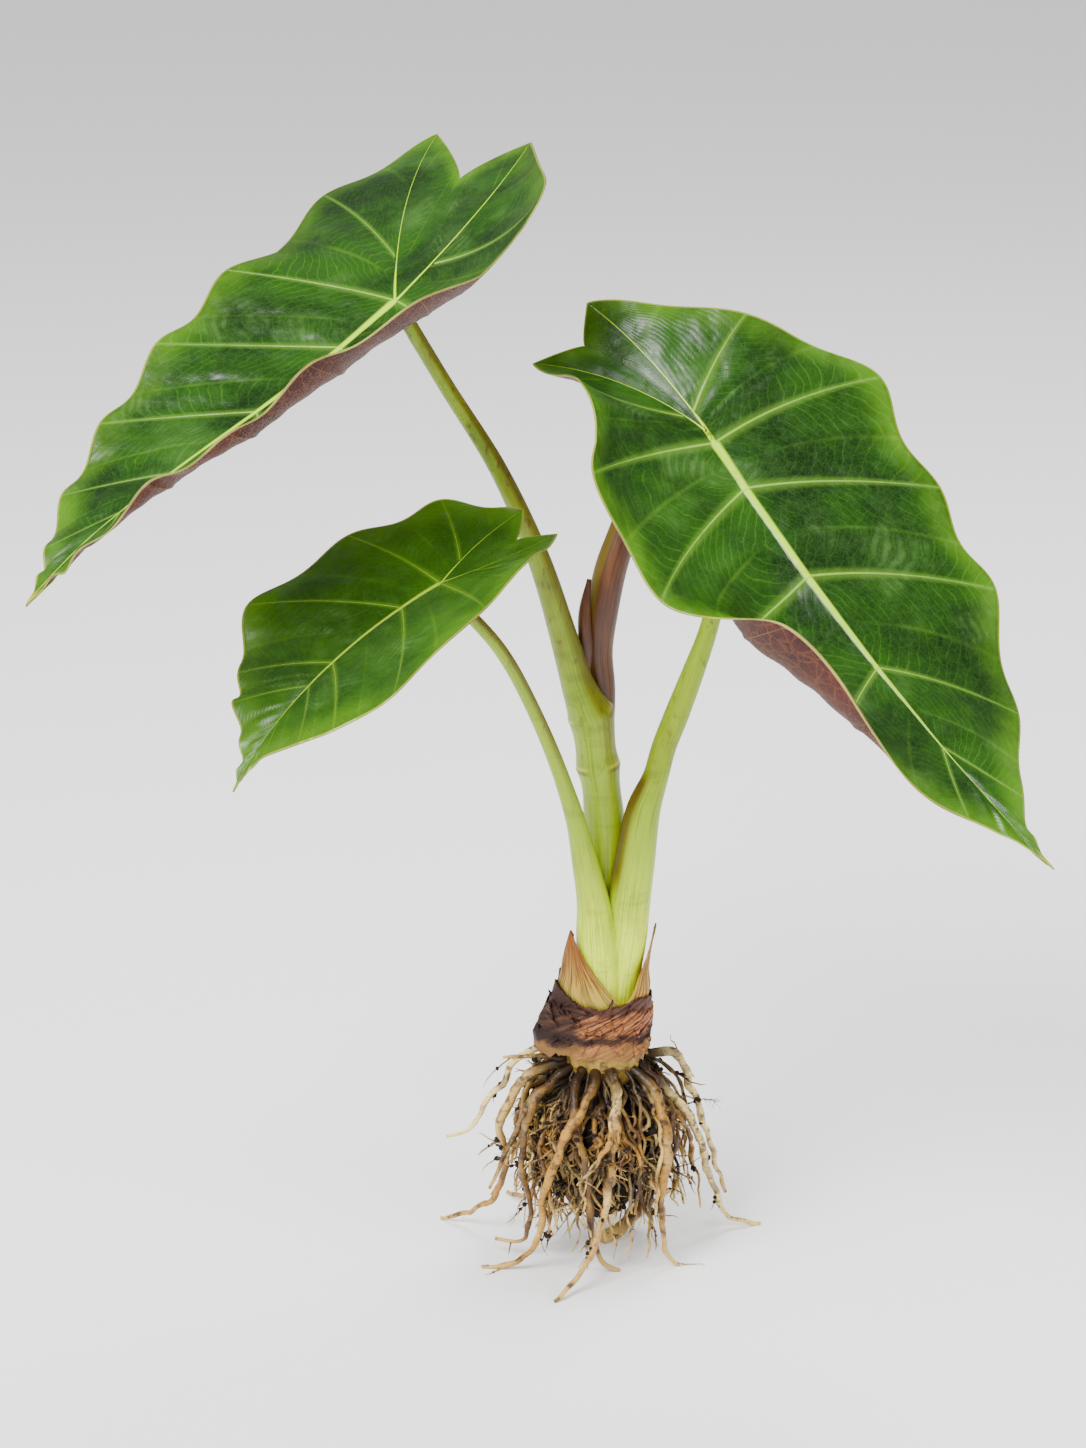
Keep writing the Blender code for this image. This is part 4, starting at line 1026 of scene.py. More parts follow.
# %% Scale shapes
SKIN_THICKNESS = 0.55 * MM
LEFT_SCALE = dict(foot=97, tip=128, foot_radius=15.3, tip_radius=15.0, middle=229, tip_at=217, half_width=82)
RIGHT_SCALE = dict(foot=97, tip=128, foot_radius=15.5, tip_radius=18.7, middle=-16, tip_at=-4, half_width=58)
SCALE_LEAN_POWER = 2.2
SCALE_FLARE = 0.9
SCALE_FLARE_END = 2.2
SCALE_NARROWING = 0.97
SCALE_NARROW_POWER = 0.8
SCALE_TEAR = 0.05
SCALE_SHOULDER = 1.5
SCALE_RIPPLE = 0.22
SCALE_FINE_RIPPLE = 0.1
COLLAR = dict(foot=85, top=100, foot_radius=16.4, top_radius=17.3, torn_at=192, torn_width=36, torn_out=9.0,
              torn_rise=6.0, torn_lift=2.0, flap_at=315, flap_width=26, flap_rise=2.5)


def cylinder_points(radius, azimuth, height):
    return np.stack([radius * np.cos(azimuth), radius * np.sin(azimuth), height], axis=1) * MM


def wavy(values, seed):
    """Smooth random numbers from -1 to 1 along a row of values."""
    return np.array([noise.noise(Vector((value, seed * 7.31, seed * 1.7))) for value in values])


def pointed_scale(name, size, seed, columns=72, rows=60):
    """A scale that narrows to a point, wrapped on the stem from its foot to its tip."""
    def shape(u, v):
        share = 2 * u - 1
        narrow = 1 - SCALE_NARROWING * v ** SCALE_NARROW_POWER
        centre = size["middle"] + (size["tip_at"] - size["middle"]) * v
        ragged = 1 + SCALE_TEAR * wavy(v * 9, seed) * np.abs(share) ** 4
        azimuth = np.radians(centre + share * size["half_width"] * narrow * ragged)
        height = size["foot"] + (size["tip"] - size["foot"]) * v - SCALE_SHOULDER * np.abs(share) * v
        lean = (size["tip_radius"] - size["foot_radius"]) * v ** SCALE_LEAN_POWER
        flare = SCALE_FLARE * np.sin(math.pi * np.minimum(v * SCALE_FLARE_END, 1)) ** 2
        ripple = SCALE_RIPPLE * wavy(share * 14, seed + 1) * (1 - v * 0.6)
        ripple += SCALE_FINE_RIPPLE * wavy(share * 40, seed + 2)
        return cylinder_points(size["foot_radius"] + lean + flare + ripple, azimuth, height)

    piece, u, v = bent_grid(name, columns, rows, shape)
    return piece


# %% Layers of the torn collar
COLLAR_GRID = (180, 22)
COLLAR_WAVES = 5
COLLAR_TEETH = 22
COLLAR_RIPPLES = 9
COLLAR_RIPPLE = 0.45
COLLAR_SLOPE = 1.2


def bump_at(azimuth, centre, width):
    """1 at a direction round the stem, in degrees, and falling off to both sides."""
    away = (np.degrees(azimuth) - centre + 180) % 360 - 180
    return np.exp(-(away / width) ** 2)


def noise_round(around, waves, levels):
    """Smooth random numbers round the stem, which close on themselves."""
    spots = zip(around * waves, np.broadcast_to(levels, len(around)))
    return np.array([noise.noise(Vector((x, y, level))) for (x, y), level in spots])


def collar_band(name, low, high, out, seed, tear):
    """One torn layer of the collar: shares of its height from low to high, and how far out."""
    def shape(u, v):
        azimuth = math.tau * u
        torn = bump_at(azimuth, COLLAR["torn_at"], COLLAR["torn_width"])
        flap = bump_at(azimuth, COLLAR["flap_at"], COLLAR["flap_width"])
        around = np.stack([np.cos(azimuth), np.sin(azimuth)], axis=1)
        edge = noise_round(around, COLLAR_WAVES, seed)
        tooth = noise_round(around, COLLAR_TEETH, seed)
        top = COLLAR["top"] + COLLAR["torn_rise"] * torn + COLLAR["flap_rise"] * flap
        foot = COLLAR["foot"] + COLLAR["torn_lift"] * torn
        upper = foot + (top - foot) * high + tear * (edge + 0.7 * tooth)
        lower = foot + (top - foot) * low + tear * 0.6 * (tooth - edge)
        rise = (lower + (upper - lower) * v - foot) / (top - foot)
        radius = COLLAR["foot_radius"] + (COLLAR["top_radius"] - COLLAR["foot_radius"]) * rise
        radius = radius + COLLAR["torn_out"] * torn * np.clip(1 - rise, 0, 1) ** COLLAR_SLOPE + out
        ripple = COLLAR_RIPPLE * noise_round(around, COLLAR_RIPPLES, seed + v * 1.2)
        return cylinder_points(radius + ripple, azimuth, lower + (upper - lower) * v)

    piece, u, v = bent_grid(name, *COLLAR_GRID, shape)
    close_seams(piece)
    return piece


def thicken(piece):
    """Turn the skin outward and give it its thickness."""
    outward = (face_rows(piece, "normal") * face_rows(piece, "center"))[:, :2].sum()
    if outward < 0:
        piece.data.flip_normals()
    skin = piece.modifiers.new("Skin", "SOLIDIFY")
    skin.thickness = SKIN_THICKNESS
    skin.offset = 1


# %% [markdown]
# A dry scale is tan paper with dark streaks that run up it and dark worn patches. On the collar the
# streaks run round the stem instead, at a slant, so there they are drawn in the stem's coordinates.

# %% Dry scale material
WRAP_SLANT = -0.5
WRAP_RELIEF = 0.22 * MM
SCALE_RELIEF = 0.5 * MM


def dry_material(name, ground, streak, dark, around, dark_low, dark_high, wrapped=False):
    """Papery skin with dark worn patches and streaks that run lengthwise, or round the stem."""
    material, tree, shader = new_material(name, roughness=0.62, specular=0.3)
    place = object_place(tree)
    if wrapped:
        x, y, z = split(tree, place)
        slanted = tree.nodes.new("ShaderNodeCombineXYZ")
        put(tree, slanted.inputs[0], scaled(tree, x, WRAP_SLANT, z))
        put(tree, slanted.inputs[1], x)
        put(tree, slanted.inputs[2], y)
        grain_place = slanted.outputs[0]
        grain = use_group(tree, streaks, grain_place, Around=around * 16, Along=around * 0.5)
        fine = use_group(tree, streaks, grain_place, Around=around * 45, Along=around)
    else:
        grain = use_group(tree, streaks, surface_place(tree), Around=around, Along=1.6)
        fine = use_group(tree, streaks, surface_place(tree), Around=around * 3.2, Along=3.0)
    wear = use_group(tree, mottling, place, Scale=75.0, Low=dark_low, High=dark_high)
    shade = covered(
        tree, blend(tree, fade(tree, grain, 0.42, 0.58), ground, streak),
        (fade(tree, fine, 0.5, 0.68, 0.0, 0.55), 1, dark),
        (wear, 0.85, dark))
    tree.links.new(shade, shader.inputs["Base Color"])
    relief(tree, shader, maths(tree, "ADD", grain, fine), WRAP_RELIEF if wrapped else SCALE_RELIEF, 0.8)
    return material, tree, shader, shade


# %% Skins of the two pointed scales
scale_left_skin, tree, shader, shade = dry_material(
    "scale_left_skin", srgb(184, 150, 50), srgb(96, 48, 14), srgb(40, 18, 6), 26.0, 0.62, 0.85)
_, _, place_z = split(tree, object_place(tree))
shade = covered(
    tree, shade,
    (fade(tree, place_z, 104 * MM, 124 * MM), 0.75, srgb(140, 72, 24)),
    (fade(tree, place_z, 100 * MM, 112 * MM, 0.55, 0.0), 1, srgb(176, 160, 62)))
tree.links.new(shade, shader.inputs["Base Color"])
scale_right_skin, *_ = dry_material(
    "scale_right_skin", srgb(190, 156, 60), srgb(124, 72, 24), srgb(58, 28, 10), 22.0, 0.66, 0.88)

# %% Skin of the collar: dark on its left, along a line round it and at its torn top
COLLAR_LINE = 92 * MM
collar_skin, tree, shader, shade = dry_material(
    "collar_skin", srgb(170, 108, 60), srgb(72, 32, 20), srgb(30, 12, 8), 60.0, 0.58, 0.72, wrapped=True)
place = object_place(tree)
place_x, _, place_z = split(tree, place)
rough_x = scaled(tree, noise_value(tree, place, 130, 3), 14 * MM, place_x)
rough_z = scaled(tree, noise_value(tree, place, 160, 3), 8 * MM, place_z)
from_line = maths(tree, "ABSOLUTE", maths(tree, "SUBTRACT", rough_z, COLLAR_LINE))
shade = covered(
    tree, shade,
    (fade(tree, rough_x, 2 * MM, -6 * MM, 0.0, 0.85), 1, srgb(34, 17, 10)),
    (fade(tree, from_line, 0.8 * MM, 3 * MM, 0.85, 0.0), 1, srgb(30, 13, 9)),
    (fade(tree, rough_z, 100.5 * MM, 103 * MM, 0.0, 0.8), 1, srgb(44, 20, 16)),
    (fade(tree, rough_z, 90 * MM, 88 * MM, 0.0, 0.55), 1, srgb(150, 108, 50)))
tree.links.new(shade, shader.inputs["Base Color"])

# %% Make the pointed scales
for scale_name, size, skin, seed in (("sheath_left", LEFT_SCALE, scale_left_skin, 3),
                                     ("sheath_right", RIGHT_SCALE, scale_right_skin, 8)):
    piece = pointed_scale(scale_name + "_scale", size, seed)
    thicken(piece)
    finish_piece(piece, [scale_name], scale_name, skin)

# %% [markdown]
# Small torn flakes hang on the collar's front and left, some pointing up and most down. Each is a
# narrow pointed scale, drawn by a seeded rule and leaning a little away from the stem.

# %% Draw the flakes
FLAKE_SEED = 5
FLAKES = 38
FLAKE_SIDE = (140, 345)
FLAKE_GRID = (20, 14)
FLAKE_FOOT = (86, 99)
FLAKE_WAYS = (-1, -1, 1)
FLAKE_LENGTH = (4, 9)
FLAKE_LOWEST = 79.5
FLAKE_RADIUS = 17.6
FLAKE_STAND_OFF = (0.3, 2.2)
FLAKE_LIFT = 0.1
FLAKE_TURN = (-14, 14)
FLAKE_HALF_WIDTH = (9, 24)
chance = random.Random(FLAKE_SEED)
flakes = []
for index in range(FLAKES):
    middle = chance.uniform(*FLAKE_SIDE)
    foot = chance.uniform(*FLAKE_FOOT)
    rise = chance.choice(FLAKE_WAYS) * chance.uniform(*FLAKE_LENGTH)
    torn = float(bump_at(math.radians(middle), COLLAR["torn_at"], COLLAR["torn_width"]))
    below_top = np.clip((COLLAR["top"] - foot) / (COLLAR["top"] - COLLAR["foot"]), 0, 1)
    foot_radius = FLAKE_RADIUS + COLLAR["torn_out"] * torn * below_top ** COLLAR_SLOPE
    flake = dict(foot=foot, tip=max(foot + rise, FLAKE_LOWEST), foot_radius=foot_radius,
                 tip_radius=foot_radius + chance.uniform(*FLAKE_STAND_OFF) - FLAKE_LIFT * rise,
                 middle=middle, tip_at=middle + chance.uniform(*FLAKE_TURN),
                 half_width=chance.uniform(*FLAKE_HALF_WIDTH))
    flakes.append(pointed_scale("flake", flake, index, *FLAKE_GRID))
print(len(flakes), "flakes")

# %% Make the collar from its torn layers and the flakes
# Each layer: from and to as shares of the collar's height, how far out, seed, and how deep it is torn.
COLLAR_LAYERS = ((0.0, 1.0, 0.0, 11, 1.0), (0.18, 0.62, 0.7, 17, 4.2), (-0.3, 0.2, 0.5, 23, 2.6))
bands = [collar_band("band", *layer) for layer in COLLAR_LAYERS]
collar = join("torn_collar", bands + flakes)
thicken(collar)
finish_piece(collar, ["collar"], "collar", collar_skin)

# %% [markdown]
# ## Corm, roots and soil
# The corm is a short swollen stem. Thick roots leave it all round, bend down and spread where they
# stand, and each carries side roots down to the finest hairs. A root is a curve with a round bevel
# and its own thickness at each point, so a curve object holds all roots of one size and becomes a
# mesh at the end. The thickest follow the same routes as in the solids, and a seeded rule draws more.

# %% Root routes, in millimetres
CORM_PROFILE = ((62, 4.0), (66, 10.5), (72, 14.0), (79, 15.6), (88, 15.3), (92, 14.0), (95, 11.0), (97, 6.0))
SOIL_PROFILE = (
    (13, 4), (17, 10), (24, 15), (34, 19.5), (45, 23), (53, 24), (59, 21.5), (63, 17.5), (66, 12.5))
# Where the middle of the soil lies, x and y.
SOIL_AXIS = (-1, -1)
ROOT_SEED = 11
# Each root: its radius at the corm, and the points that it passes through.
MIDDLE_ROOT = (2.4, ((7, 9, 75), (18, 20, 65), (21, 22, 38), (18, 17, 14), (9, 8, 5), (0, 0, 0)))
MAIN_ROOTS = (
    (2.0, ((10, 2, 75), (25, 3, 75.5), (33, 11, 58), (41, 19, 31), (47, 25, 10))),
    (2.1, ((8, -5, 76), (24, -7, 64), (35, -3, 46), (41, 6, 22), (50, 14, 4), (60, 17, 0))),
    (2.2, ((8, -8, 76), (19, -17, 68), (23, -24, 52), (21, -25, 20), (24, -22, 5), (28, -20, 0))),
    (2.3, ((2, -10, 77), (4, -22, 70), (3, -29, 45), (0, -31, 26), (-7, -40, 9), (-18, -52, 0))),
    (2.2, ((-6, -8, 77), (-11, -22, 68), (-7, -29, 45), (-4, -28, 18), (0, -26, 4), (6, -25, 0))),
    (2.3, ((-3, -9, 76), (-4, -21, 71), (-9, -26, 63), (-15.5, -28, 50), (-22, -27, 33), (-23, -26, 18),
           (-32, -24, 3), (-45, -22, 0))),
    (2.2, ((-9, -4, 76), (-28, -6, 70), (-38, -8, 53), (-36, 2, 32), (-42, 9, 14), (-61, 22, 0))),
    (1.7, ((-10, 0, 76), (-20, -1, 79.5), (-31.5, -3, 75), (-37.5, -4, 66), (-43, -5, 60), (-45.5, -6, 54),
           (-50, -7, 49), (-58, -8, 46.5))),
    (1.6, ((-9, -3, 75), (-22, -8, 78.5), (-30, -11, 79), (-37, -13, 80))),
    (1.9, ((-9, -6, 76), (-24, -16, 66), (-30, -19, 40), (-27, -15, 20), (-31, -12, 6), (-40, -9, 6))),
    (1.8, ((-8, -5, 72), (-26, -13, 63), (-33, -17, 50), (-39, -19, 38), (-42, -20, 31))),
    (2.2, ((-8, 8, 75), (-19, 18, 64), (-26, 24, 42), (-24, 27, 18), (-28, 36, 4), (-36, 46, 0))),
    (2.2, ((5, 10, 75), (14, 21, 66), (17, 29, 44), (16, 30, 18), (20, 38, 4), (28, 50, 0))),
)
MAIN_TINTS = (0.95, 0.9, 0.55, 0.75, 0.25, 0.7, 0.7, 1.0, 0.6, 0.35, 0.2, 0.5, 0.6)

# %% How a root tapers, swells and bends
ROOT_TIP_SHARE = 0.38
ROOT_TAPER_POWER = 1.6
ROOT_LUMPS = 0.10
ROOT_LUMP_WAVES = 5
ROOT_UNEVEN = 0.14
KNOB_GAIN = 0.7
KNOB_START = 0.15
FINE_STEP = 1.8
CRUMPLE = 1.3
SOIL_BITE = 0.4


def soil_radius(height):
    """Radius of the soil ball at a height in millimetres, and 0 above and below it."""
    heights, radii = zip(*SOIL_PROFILE)
    if not heights[0] < height < heights[-1]:
        return 0.0
    return float(smooth_row(heights, radii, [height])[0])


def clear_of_soil(point, radius):
    """Move a root point level outward, out of the soil ball."""
    offset = Vector((point[0] - SOIL_AXIS[0], point[1] - SOIL_AXIS[1], 0))
    needed = max(soil_radius(point[2] + shift) for shift in (-radius, 0, radius)) + radius * SOIL_BITE
    if offset.length >= needed or offset.length == 0:
        return point
    moved = offset.normalized() * needed
    return np.array([moved.x + SOIL_AXIS[0], moved.y + SOIL_AXIS[1], point[2]])


def root_line(points, radius, chance, taper_to=ROOT_TIP_SHARE, crumple=CRUMPLE):
    """Points and radii of a fine root: tapering, lumpy and a little crooked."""
    line = route(points, FINE_STEP)
    share = np.linspace(0, 1, len(line))
    seed = chance.uniform(0, 100)
    radii = radius * (1 - (1 - taper_to) * share ** ROOT_TAPER_POWER)
    knobs = np.clip(wavy(share * len(line) * 0.8, seed + 9) - KNOB_START, 0, 1)
    lumps = ROOT_LUMPS * np.sin(ROOT_LUMP_WAVES * share * math.tau + radius * 9)
    radii *= 1 + lumps + ROOT_UNEVEN * wavy(share * len(line) * 0.45, seed)
    radii *= 1 + KNOB_GAIN * knobs
    grown = np.clip(share * 6, 0, 1) * np.clip((1 - share) * 8, 0, 1)
    for axis in range(3):
        line[:, axis] += crumple * grown * wavy(share * len(line) * 0.28, seed + axis)
    line = np.array([clear_of_soil(point, here) for point, here in zip(line, radii)])
    line[:, 2] = np.maximum(line[:, 2], radii * 0.9)
    return line, radii


# %% Draw the thick roots
MIDDLE_TINT = 0.3
SLIMMER = 0.84


def new_root(line, radii, tint):
    """A root's points, its radii and its tint, from 0, dark, to 1, pale."""
    return dict(line=np.asarray(line, float), radii=np.asarray(radii, float), tint=tint)


chance = random.Random(ROOT_SEED)
roots = [new_root(*root_line(MIDDLE_ROOT[1], MIDDLE_ROOT[0], chance, 1.0), MIDDLE_TINT)]
for (radius, points), tint in zip(MAIN_ROOTS, MAIN_TINTS):
    roots.append(new_root(*root_line(points, radius * SLIMMER, chance), tint))
print(len(roots), "thick roots as in the solids")

# %% [markdown]
# Between these, more roots fill the ball. They leave the corm all round, bulge out and end lower
# down. Thinner ones creep over the soil clump. Both are drawn by a seeded rule, so that each run
# gives the same root ball.

# %% Draw the fill roots
FILL_ROOTS = 36
FILL_ROOT_RADIUS = (0.6, 1.5)
FILL_ROOT_START = (68, 80)
FILL_ROOT_END = (5, 40)
FILL_ROOT_REACH = (25, 32)
FILL_ROOT_FOOT = 9
FILL_ROOT_SHOULDER = (17, 25)
FILL_ROOT_FLARE = (-2, 7)
FILL_ROOT_TWIST = 0.9
FILL_ROOT_TINT = (0.05, 0.9)
LOOSE_CRUMPLE = 2.2
for index in range(FILL_ROOTS):
    azimuth = math.tau * (index + chance.uniform(0.1, 0.9)) / FILL_ROOTS
    radius = chance.uniform(*FILL_ROOT_RADIUS)
    start = chance.uniform(*FILL_ROOT_START)
    end = chance.uniform(*FILL_ROOT_END)
    reach = chance.uniform(*FILL_ROOT_REACH)
    flare = chance.uniform(*FILL_ROOT_FLARE)
    twist = chance.uniform(-FILL_ROOT_TWIST, FILL_ROOT_TWIST)
    shoulder = chance.uniform(*FILL_ROOT_SHOULDER)
    ways = ((0, FILL_ROOT_FOOT), (0.16, shoulder), (0.5, reach), (0.8, reach + flare / 2), (1, reach + flare))
    points = []
    for share, out in ways:
        angle = azimuth + twist * share
        points.append((out * math.cos(angle), out * math.sin(angle), start + (end - start) * share))
    line, radii = root_line(points, radius, chance, crumple=LOOSE_CRUMPLE)
    roots.append(new_root(line, radii, chance.uniform(*FILL_ROOT_TINT)))
print(len(roots), "thick roots leave the corm")

# %% Draw the roots on the soil
BALL_ROOTS = 190
BALL_ROOT_RADIUS = (0.35, 1.1)
BALL_ROOT_START = (64, 78)
BALL_ROOT_END = (3, 40)
BALL_ROOT_SPREAD = (15, 33)
BALL_ROOT_STEPS = 9
BALL_ROOT_TURN = (-0.24, 0.24)
BALL_ROOT_CLEAR = (-0.5, 4.0)
BALL_ROOT_PALEST = 0.9
BALL_ROOT_DARKNESS = 1.8


def ball_root(chance):
    """A root of middling thickness that creeps down over the soil clump."""
    azimuth = chance.uniform(0, math.tau)
    start = chance.uniform(*BALL_ROOT_START)
    end = chance.uniform(*BALL_ROOT_END)
    spread = chance.uniform(*BALL_ROOT_SPREAD)
    points = []
    for share in np.linspace(0, 1, BALL_ROOT_STEPS):
        height = start + (end - start) * share
        azimuth += chance.uniform(*BALL_ROOT_TURN)
        out = FILL_ROOT_FOOT + (spread - FILL_ROOT_FOOT) * math.sqrt(share)
        out = max(out, soil_radius(height) + chance.uniform(*BALL_ROOT_CLEAR))
        x = out * math.cos(azimuth) + SOIL_AXIS[0]
        y = out * math.sin(azimuth) + SOIL_AXIS[1]
        points.append((x, y, height))
    return root_line(points, chance.uniform(*BALL_ROOT_RADIUS), chance, crumple=LOOSE_CRUMPLE)


ball_roots = []
for _ in range(BALL_ROOTS):
    line, radii = ball_root(chance)
    tint = BALL_ROOT_PALEST * chance.uniform(0, 1) ** BALL_ROOT_DARKNESS
    ball_roots.append(new_root(line, radii, tint))
print(len(ball_roots), "thinner roots creep over the soil")

# %% [markdown]
# Side roots grow outward and down from the thick ones, in two sizes. They stay thin, so that they
# fill the gaps in the ball without hiding the thick roots that give it its look.

# %% Grow the side roots
# Each size: how many, every how many-th root carries one, radius, length, and how pale it may be.
SIDE_ROOT_SIZES = ((320, 1, (0.28, 0.6), (6, 18), 0.7), (1100, 7, (0.09, 0.18), (3, 9), 0.9))
SIDE_ROOT_STEP = 2.0
SIDE_ROOT_OUTWARD = 0.8
SIDE_ROOT_BEND = 0.38
SIDE_ROOT_TIP = 0.35


def side_root(stem, radius, length, chance):
    """A thin root from a point of a thick one, outward and down, with its own bends."""
    line = stem["line"]
    index = chance.randrange(len(line) // 5, len(line) - 1)
    start = Vector(line[index])
    outward = Vector((start.x, start.y, 0)).normalized()
    stray = Vector((chance.uniform(-1, 1), chance.uniform(-1, 1), chance.uniform(-1.3, 0.5)))
    heading = (outward * SIDE_ROOT_OUTWARD + stray).normalized()
    count = max(4, int(length / SIDE_ROOT_STEP))
    points = []
    place = start.copy()
    for _ in range(count):
        points.append(tuple(place))
        turn = Vector((chance.uniform(-1, 1), chance.uniform(-1, 1), chance.uniform(-1.3, 0.8)))
        heading = (heading + turn * SIDE_ROOT_BEND).normalized()
        place = place + heading * (length / count)
        place.z = max(place.z, radius)
    return np.array(points), np.linspace(radius, radius * SIDE_ROOT_TIP, count)


fine = []
for amount, stride, thickness, reach, palest in SIDE_ROOT_SIZES:
    stems = roots + ball_roots + fine
    for index in range(amount):
        stem = stems[index * stride % len(stems)]
        line, radii = side_root(stem, chance.uniform(*thickness), chance.uniform(*reach), chance)
        fine.append(new_root(line, radii, chance.uniform(0.0, palest)))
print(len(fine), "side roots")


# %% Turn the roots into meshes
def roots_to_mesh(name, chosen, sides_setting):
    """One bevelled curve of many roots, made a mesh that keeps each point's age and tint.

    Age runs from 0 where a root starts to 1 at its tip.
    """
    bpy.ops.object.select_all(action="DESELECT")
    curve = bpy.data.curves.new(name, "CURVE")
    curve.dimensions = "3D"
    curve.bevel_depth = 1.0
    curve.bevel_resolution = sides_setting
    age = []
    tint = []
    sides = 4 + 2 * sides_setting
    for root in chosen:
        spline = curve.splines.new("POLY")
        spline.points.add(len(root["line"]) - 1)
        corners = np.concatenate([root["line"] * MM, np.ones((len(root["line"]), 1))], axis=1)
        spline.points.foreach_set("co", corners.ravel())
        spline.points.foreach_set("radius", root["radii"] * MM)
        age.append(np.repeat(np.linspace(0, 1, len(root["line"])), sides))
        tint.append(np.full(len(root["line"]) * sides, root["tint"]))
    piece = bpy.data.objects.new(name, curve)
    bpy.context.scene.collection.objects.link(piece)
    only(piece)
    bpy.ops.object.convert(target="MESH")
    piece = bpy.context.object
    mark(piece, "age", np.concatenate(age))
    mark(piece, "tint", np.concatenate(tint))
    close_seams(piece, fill=True)
    return piece


root_mesh = roots_to_mesh("thick_roots", roots, 3)
ball_mesh = roots_to_mesh("ball_roots", ball_roots, 1)
fine_mesh = roots_to_mesh("fine_roots", fine, 0)

# %% [markdown]
# The corm's body is short and round, and collar and roots hide most of it. A grid is rolled to the
# solid's profile, and low bumps keep it from looking turned on a lathe.

# %% Corm body
CORM_GRID = (96, 60)
CORM_BUMPS = 0.035


def build_corm():
    heights, radii = zip(*CORM_PROFILE)
    low, high = heights[0], heights[-1]

    def shape(u, v):
        height = low + (high - low) * v
        radius = smooth_row(heights, radii, height)
        azimuth = math.tau * u
        spots = zip(np.cos(azimuth), np.sin(azimuth), height)
        bumps = np.array([noise.noise(Vector((x * 3, y * 3, z * 0.22))) for x, y, z in spots])
        return cylinder_points(radius * (1 + CORM_BUMPS * bumps * np.sin(math.pi * v)), azimuth, height)

    piece, u, v = bent_grid("corm_body", *CORM_GRID, shape)
    close_seams(piece, fill=True)
    return piece


corm_body = build_corm()
print("corm body made")

# %% [markdown]
# Young roots are cream and old ones dark brown. The tint that each root carries picks its colour
# from a ramp, and knots, rings and dirt darken it in places. Long pale patches of painted highlight
# lie on the paler roots, and towards the middle of the ball painted shade darkens all roots, as
# little light gets there.

# %% Root material
# Painted shade: within these radii of the middle and above these heights, roots are darkened, as little light
# gets into the ball.
PAINTED_SHADE_RADII = (18 * MM, 31 * MM)
PAINTED_SHADE_HEIGHTS = (18 * MM, 34 * MM)
root_skin, tree, shader = new_material("root_skin", roughness=0.46)
root_place = object_place(tree)
age = marked(tree, "age")
tint = marked(tree, "tint")
root_cloud = use_group(tree, mottling, root_place, Scale=130.0, Low=0.3, High=0.7)
root_dirt = use_group(tree, mottling, root_place, Scale=310.0, Low=0.50, High=0.64)
root_rings = noise_value(tree, stretched(tree, root_place, (1, 1, 4.0)), 260, 3, 0.6)
# Painted highlights: long pale cream patches, stronger on the paler roots, stand in for light catching their
# moist skin.
painted_highlight_patches = fade(tree, noise_value(tree, root_place, 48, 3), 0.5, 0.66, 0.0, 0.6)
dark_stretch = fade(tree, noise_value(tree, root_place, 62, 3), 0.5, 0.36, 0.0, 0.7)
root_x, root_y, root_z = split(tree, root_place)
squares = scaled(tree, root_x, root_x, product(tree, root_y, root_y))
inside = fade(tree, maths(tree, "SQRT", squares), *PAINTED_SHADE_RADII, 0.88, 0.0)
tint_colours = ((0.0, srgb(34, 17, 3)), (0.35, srgb(86, 48, 10)), (0.7, srgb(162, 110, 26)),
                (1.0, srgb(250, 228, 156)))
root_shade = covered(
    tree, ramp(tree, tint, tint_colours),
    (root_cloud, 0.34, srgb(206, 160, 62)),
    (product(tree, painted_highlight_patches, tint), 1, srgb(242, 214, 134)),
    (dark_stretch, 1, srgb(62, 34, 8)),
    (fade(tree, root_rings, 0.5, 0.7, 0.0, 0.5), 1, srgb(70, 36, 6)),
    (fade(tree, age, 0.8, 1.0, 0.0, 0.6), 1, srgb(230, 194, 104)),
    (fade(tree, age, 0.0, 0.25, 0.6, 0.0), 1, srgb(40, 20, 8)),
    (root_dirt, 0.8, srgb(30, 15, 8)),
    (product(tree, inside, fade(tree, root_z, *PAINTED_SHADE_HEIGHTS)), 1, srgb(30, 15, 4)))
tree.links.new(root_shade, shader.inputs["Base Color"])
relief(tree, shader, scaled(tree, root_cloud, 0.5, root_rings), 0.5 * MM, 0.7)

# %% Corm material
corm_skin, tree, shader = new_material("corm_skin", roughness=0.55)
corm_place = object_place(tree)
_, _, corm_z = split(tree, corm_place)
corm_cloud = use_group(tree, mottling, corm_place, Scale=90.0, Low=0.35, High=0.7)
corm_dirt = use_group(tree, mottling, corm_place, Scale=150.0, Low=0.47, High=0.6)
corm_shade = covered(
    tree, blend(tree, corm_cloud, srgb(190, 150, 56), srgb(136, 112, 20)),
    (fade(tree, corm_z, 66 * MM, 78 * MM, 0.9, 0.0), 1, srgb(52, 28, 12)),
    (corm_dirt, 0.8, srgb(44, 22, 10)))
tree.links.new(corm_shade, shader.inputs["Base Color"])
relief(tree, shader, corm_cloud, 0.5 * MM, 0.6)

# %% Finish the roots and the corm
finish_piece(root_mesh, ["corm"], "corm", root_skin)
finish_piece(ball_mesh, [], "corm", root_skin)
finish_piece(fine_mesh, [], "corm", root_skin)
finish_piece(corm_body, [], "corm", corm_skin)

# %% [markdown]
# The soil is a dark crumbly clump inside the cage of roots. A ball is pulled into the solid's
# outline and made lumpy with noise. Loose crumbs are one small faceted stone, copied many times in
# many sizes, on the clump and on the roots.

# %% Soil clump
SOIL_GRID = (150, 100)
# Lumps of three sizes: height in millimetres and how close they lie.
SOIL_LUMPS = ((3.0, 0.16), (1.8, 0.4), (1.0, 1.2))
SOIL_SHRINK = 2.0


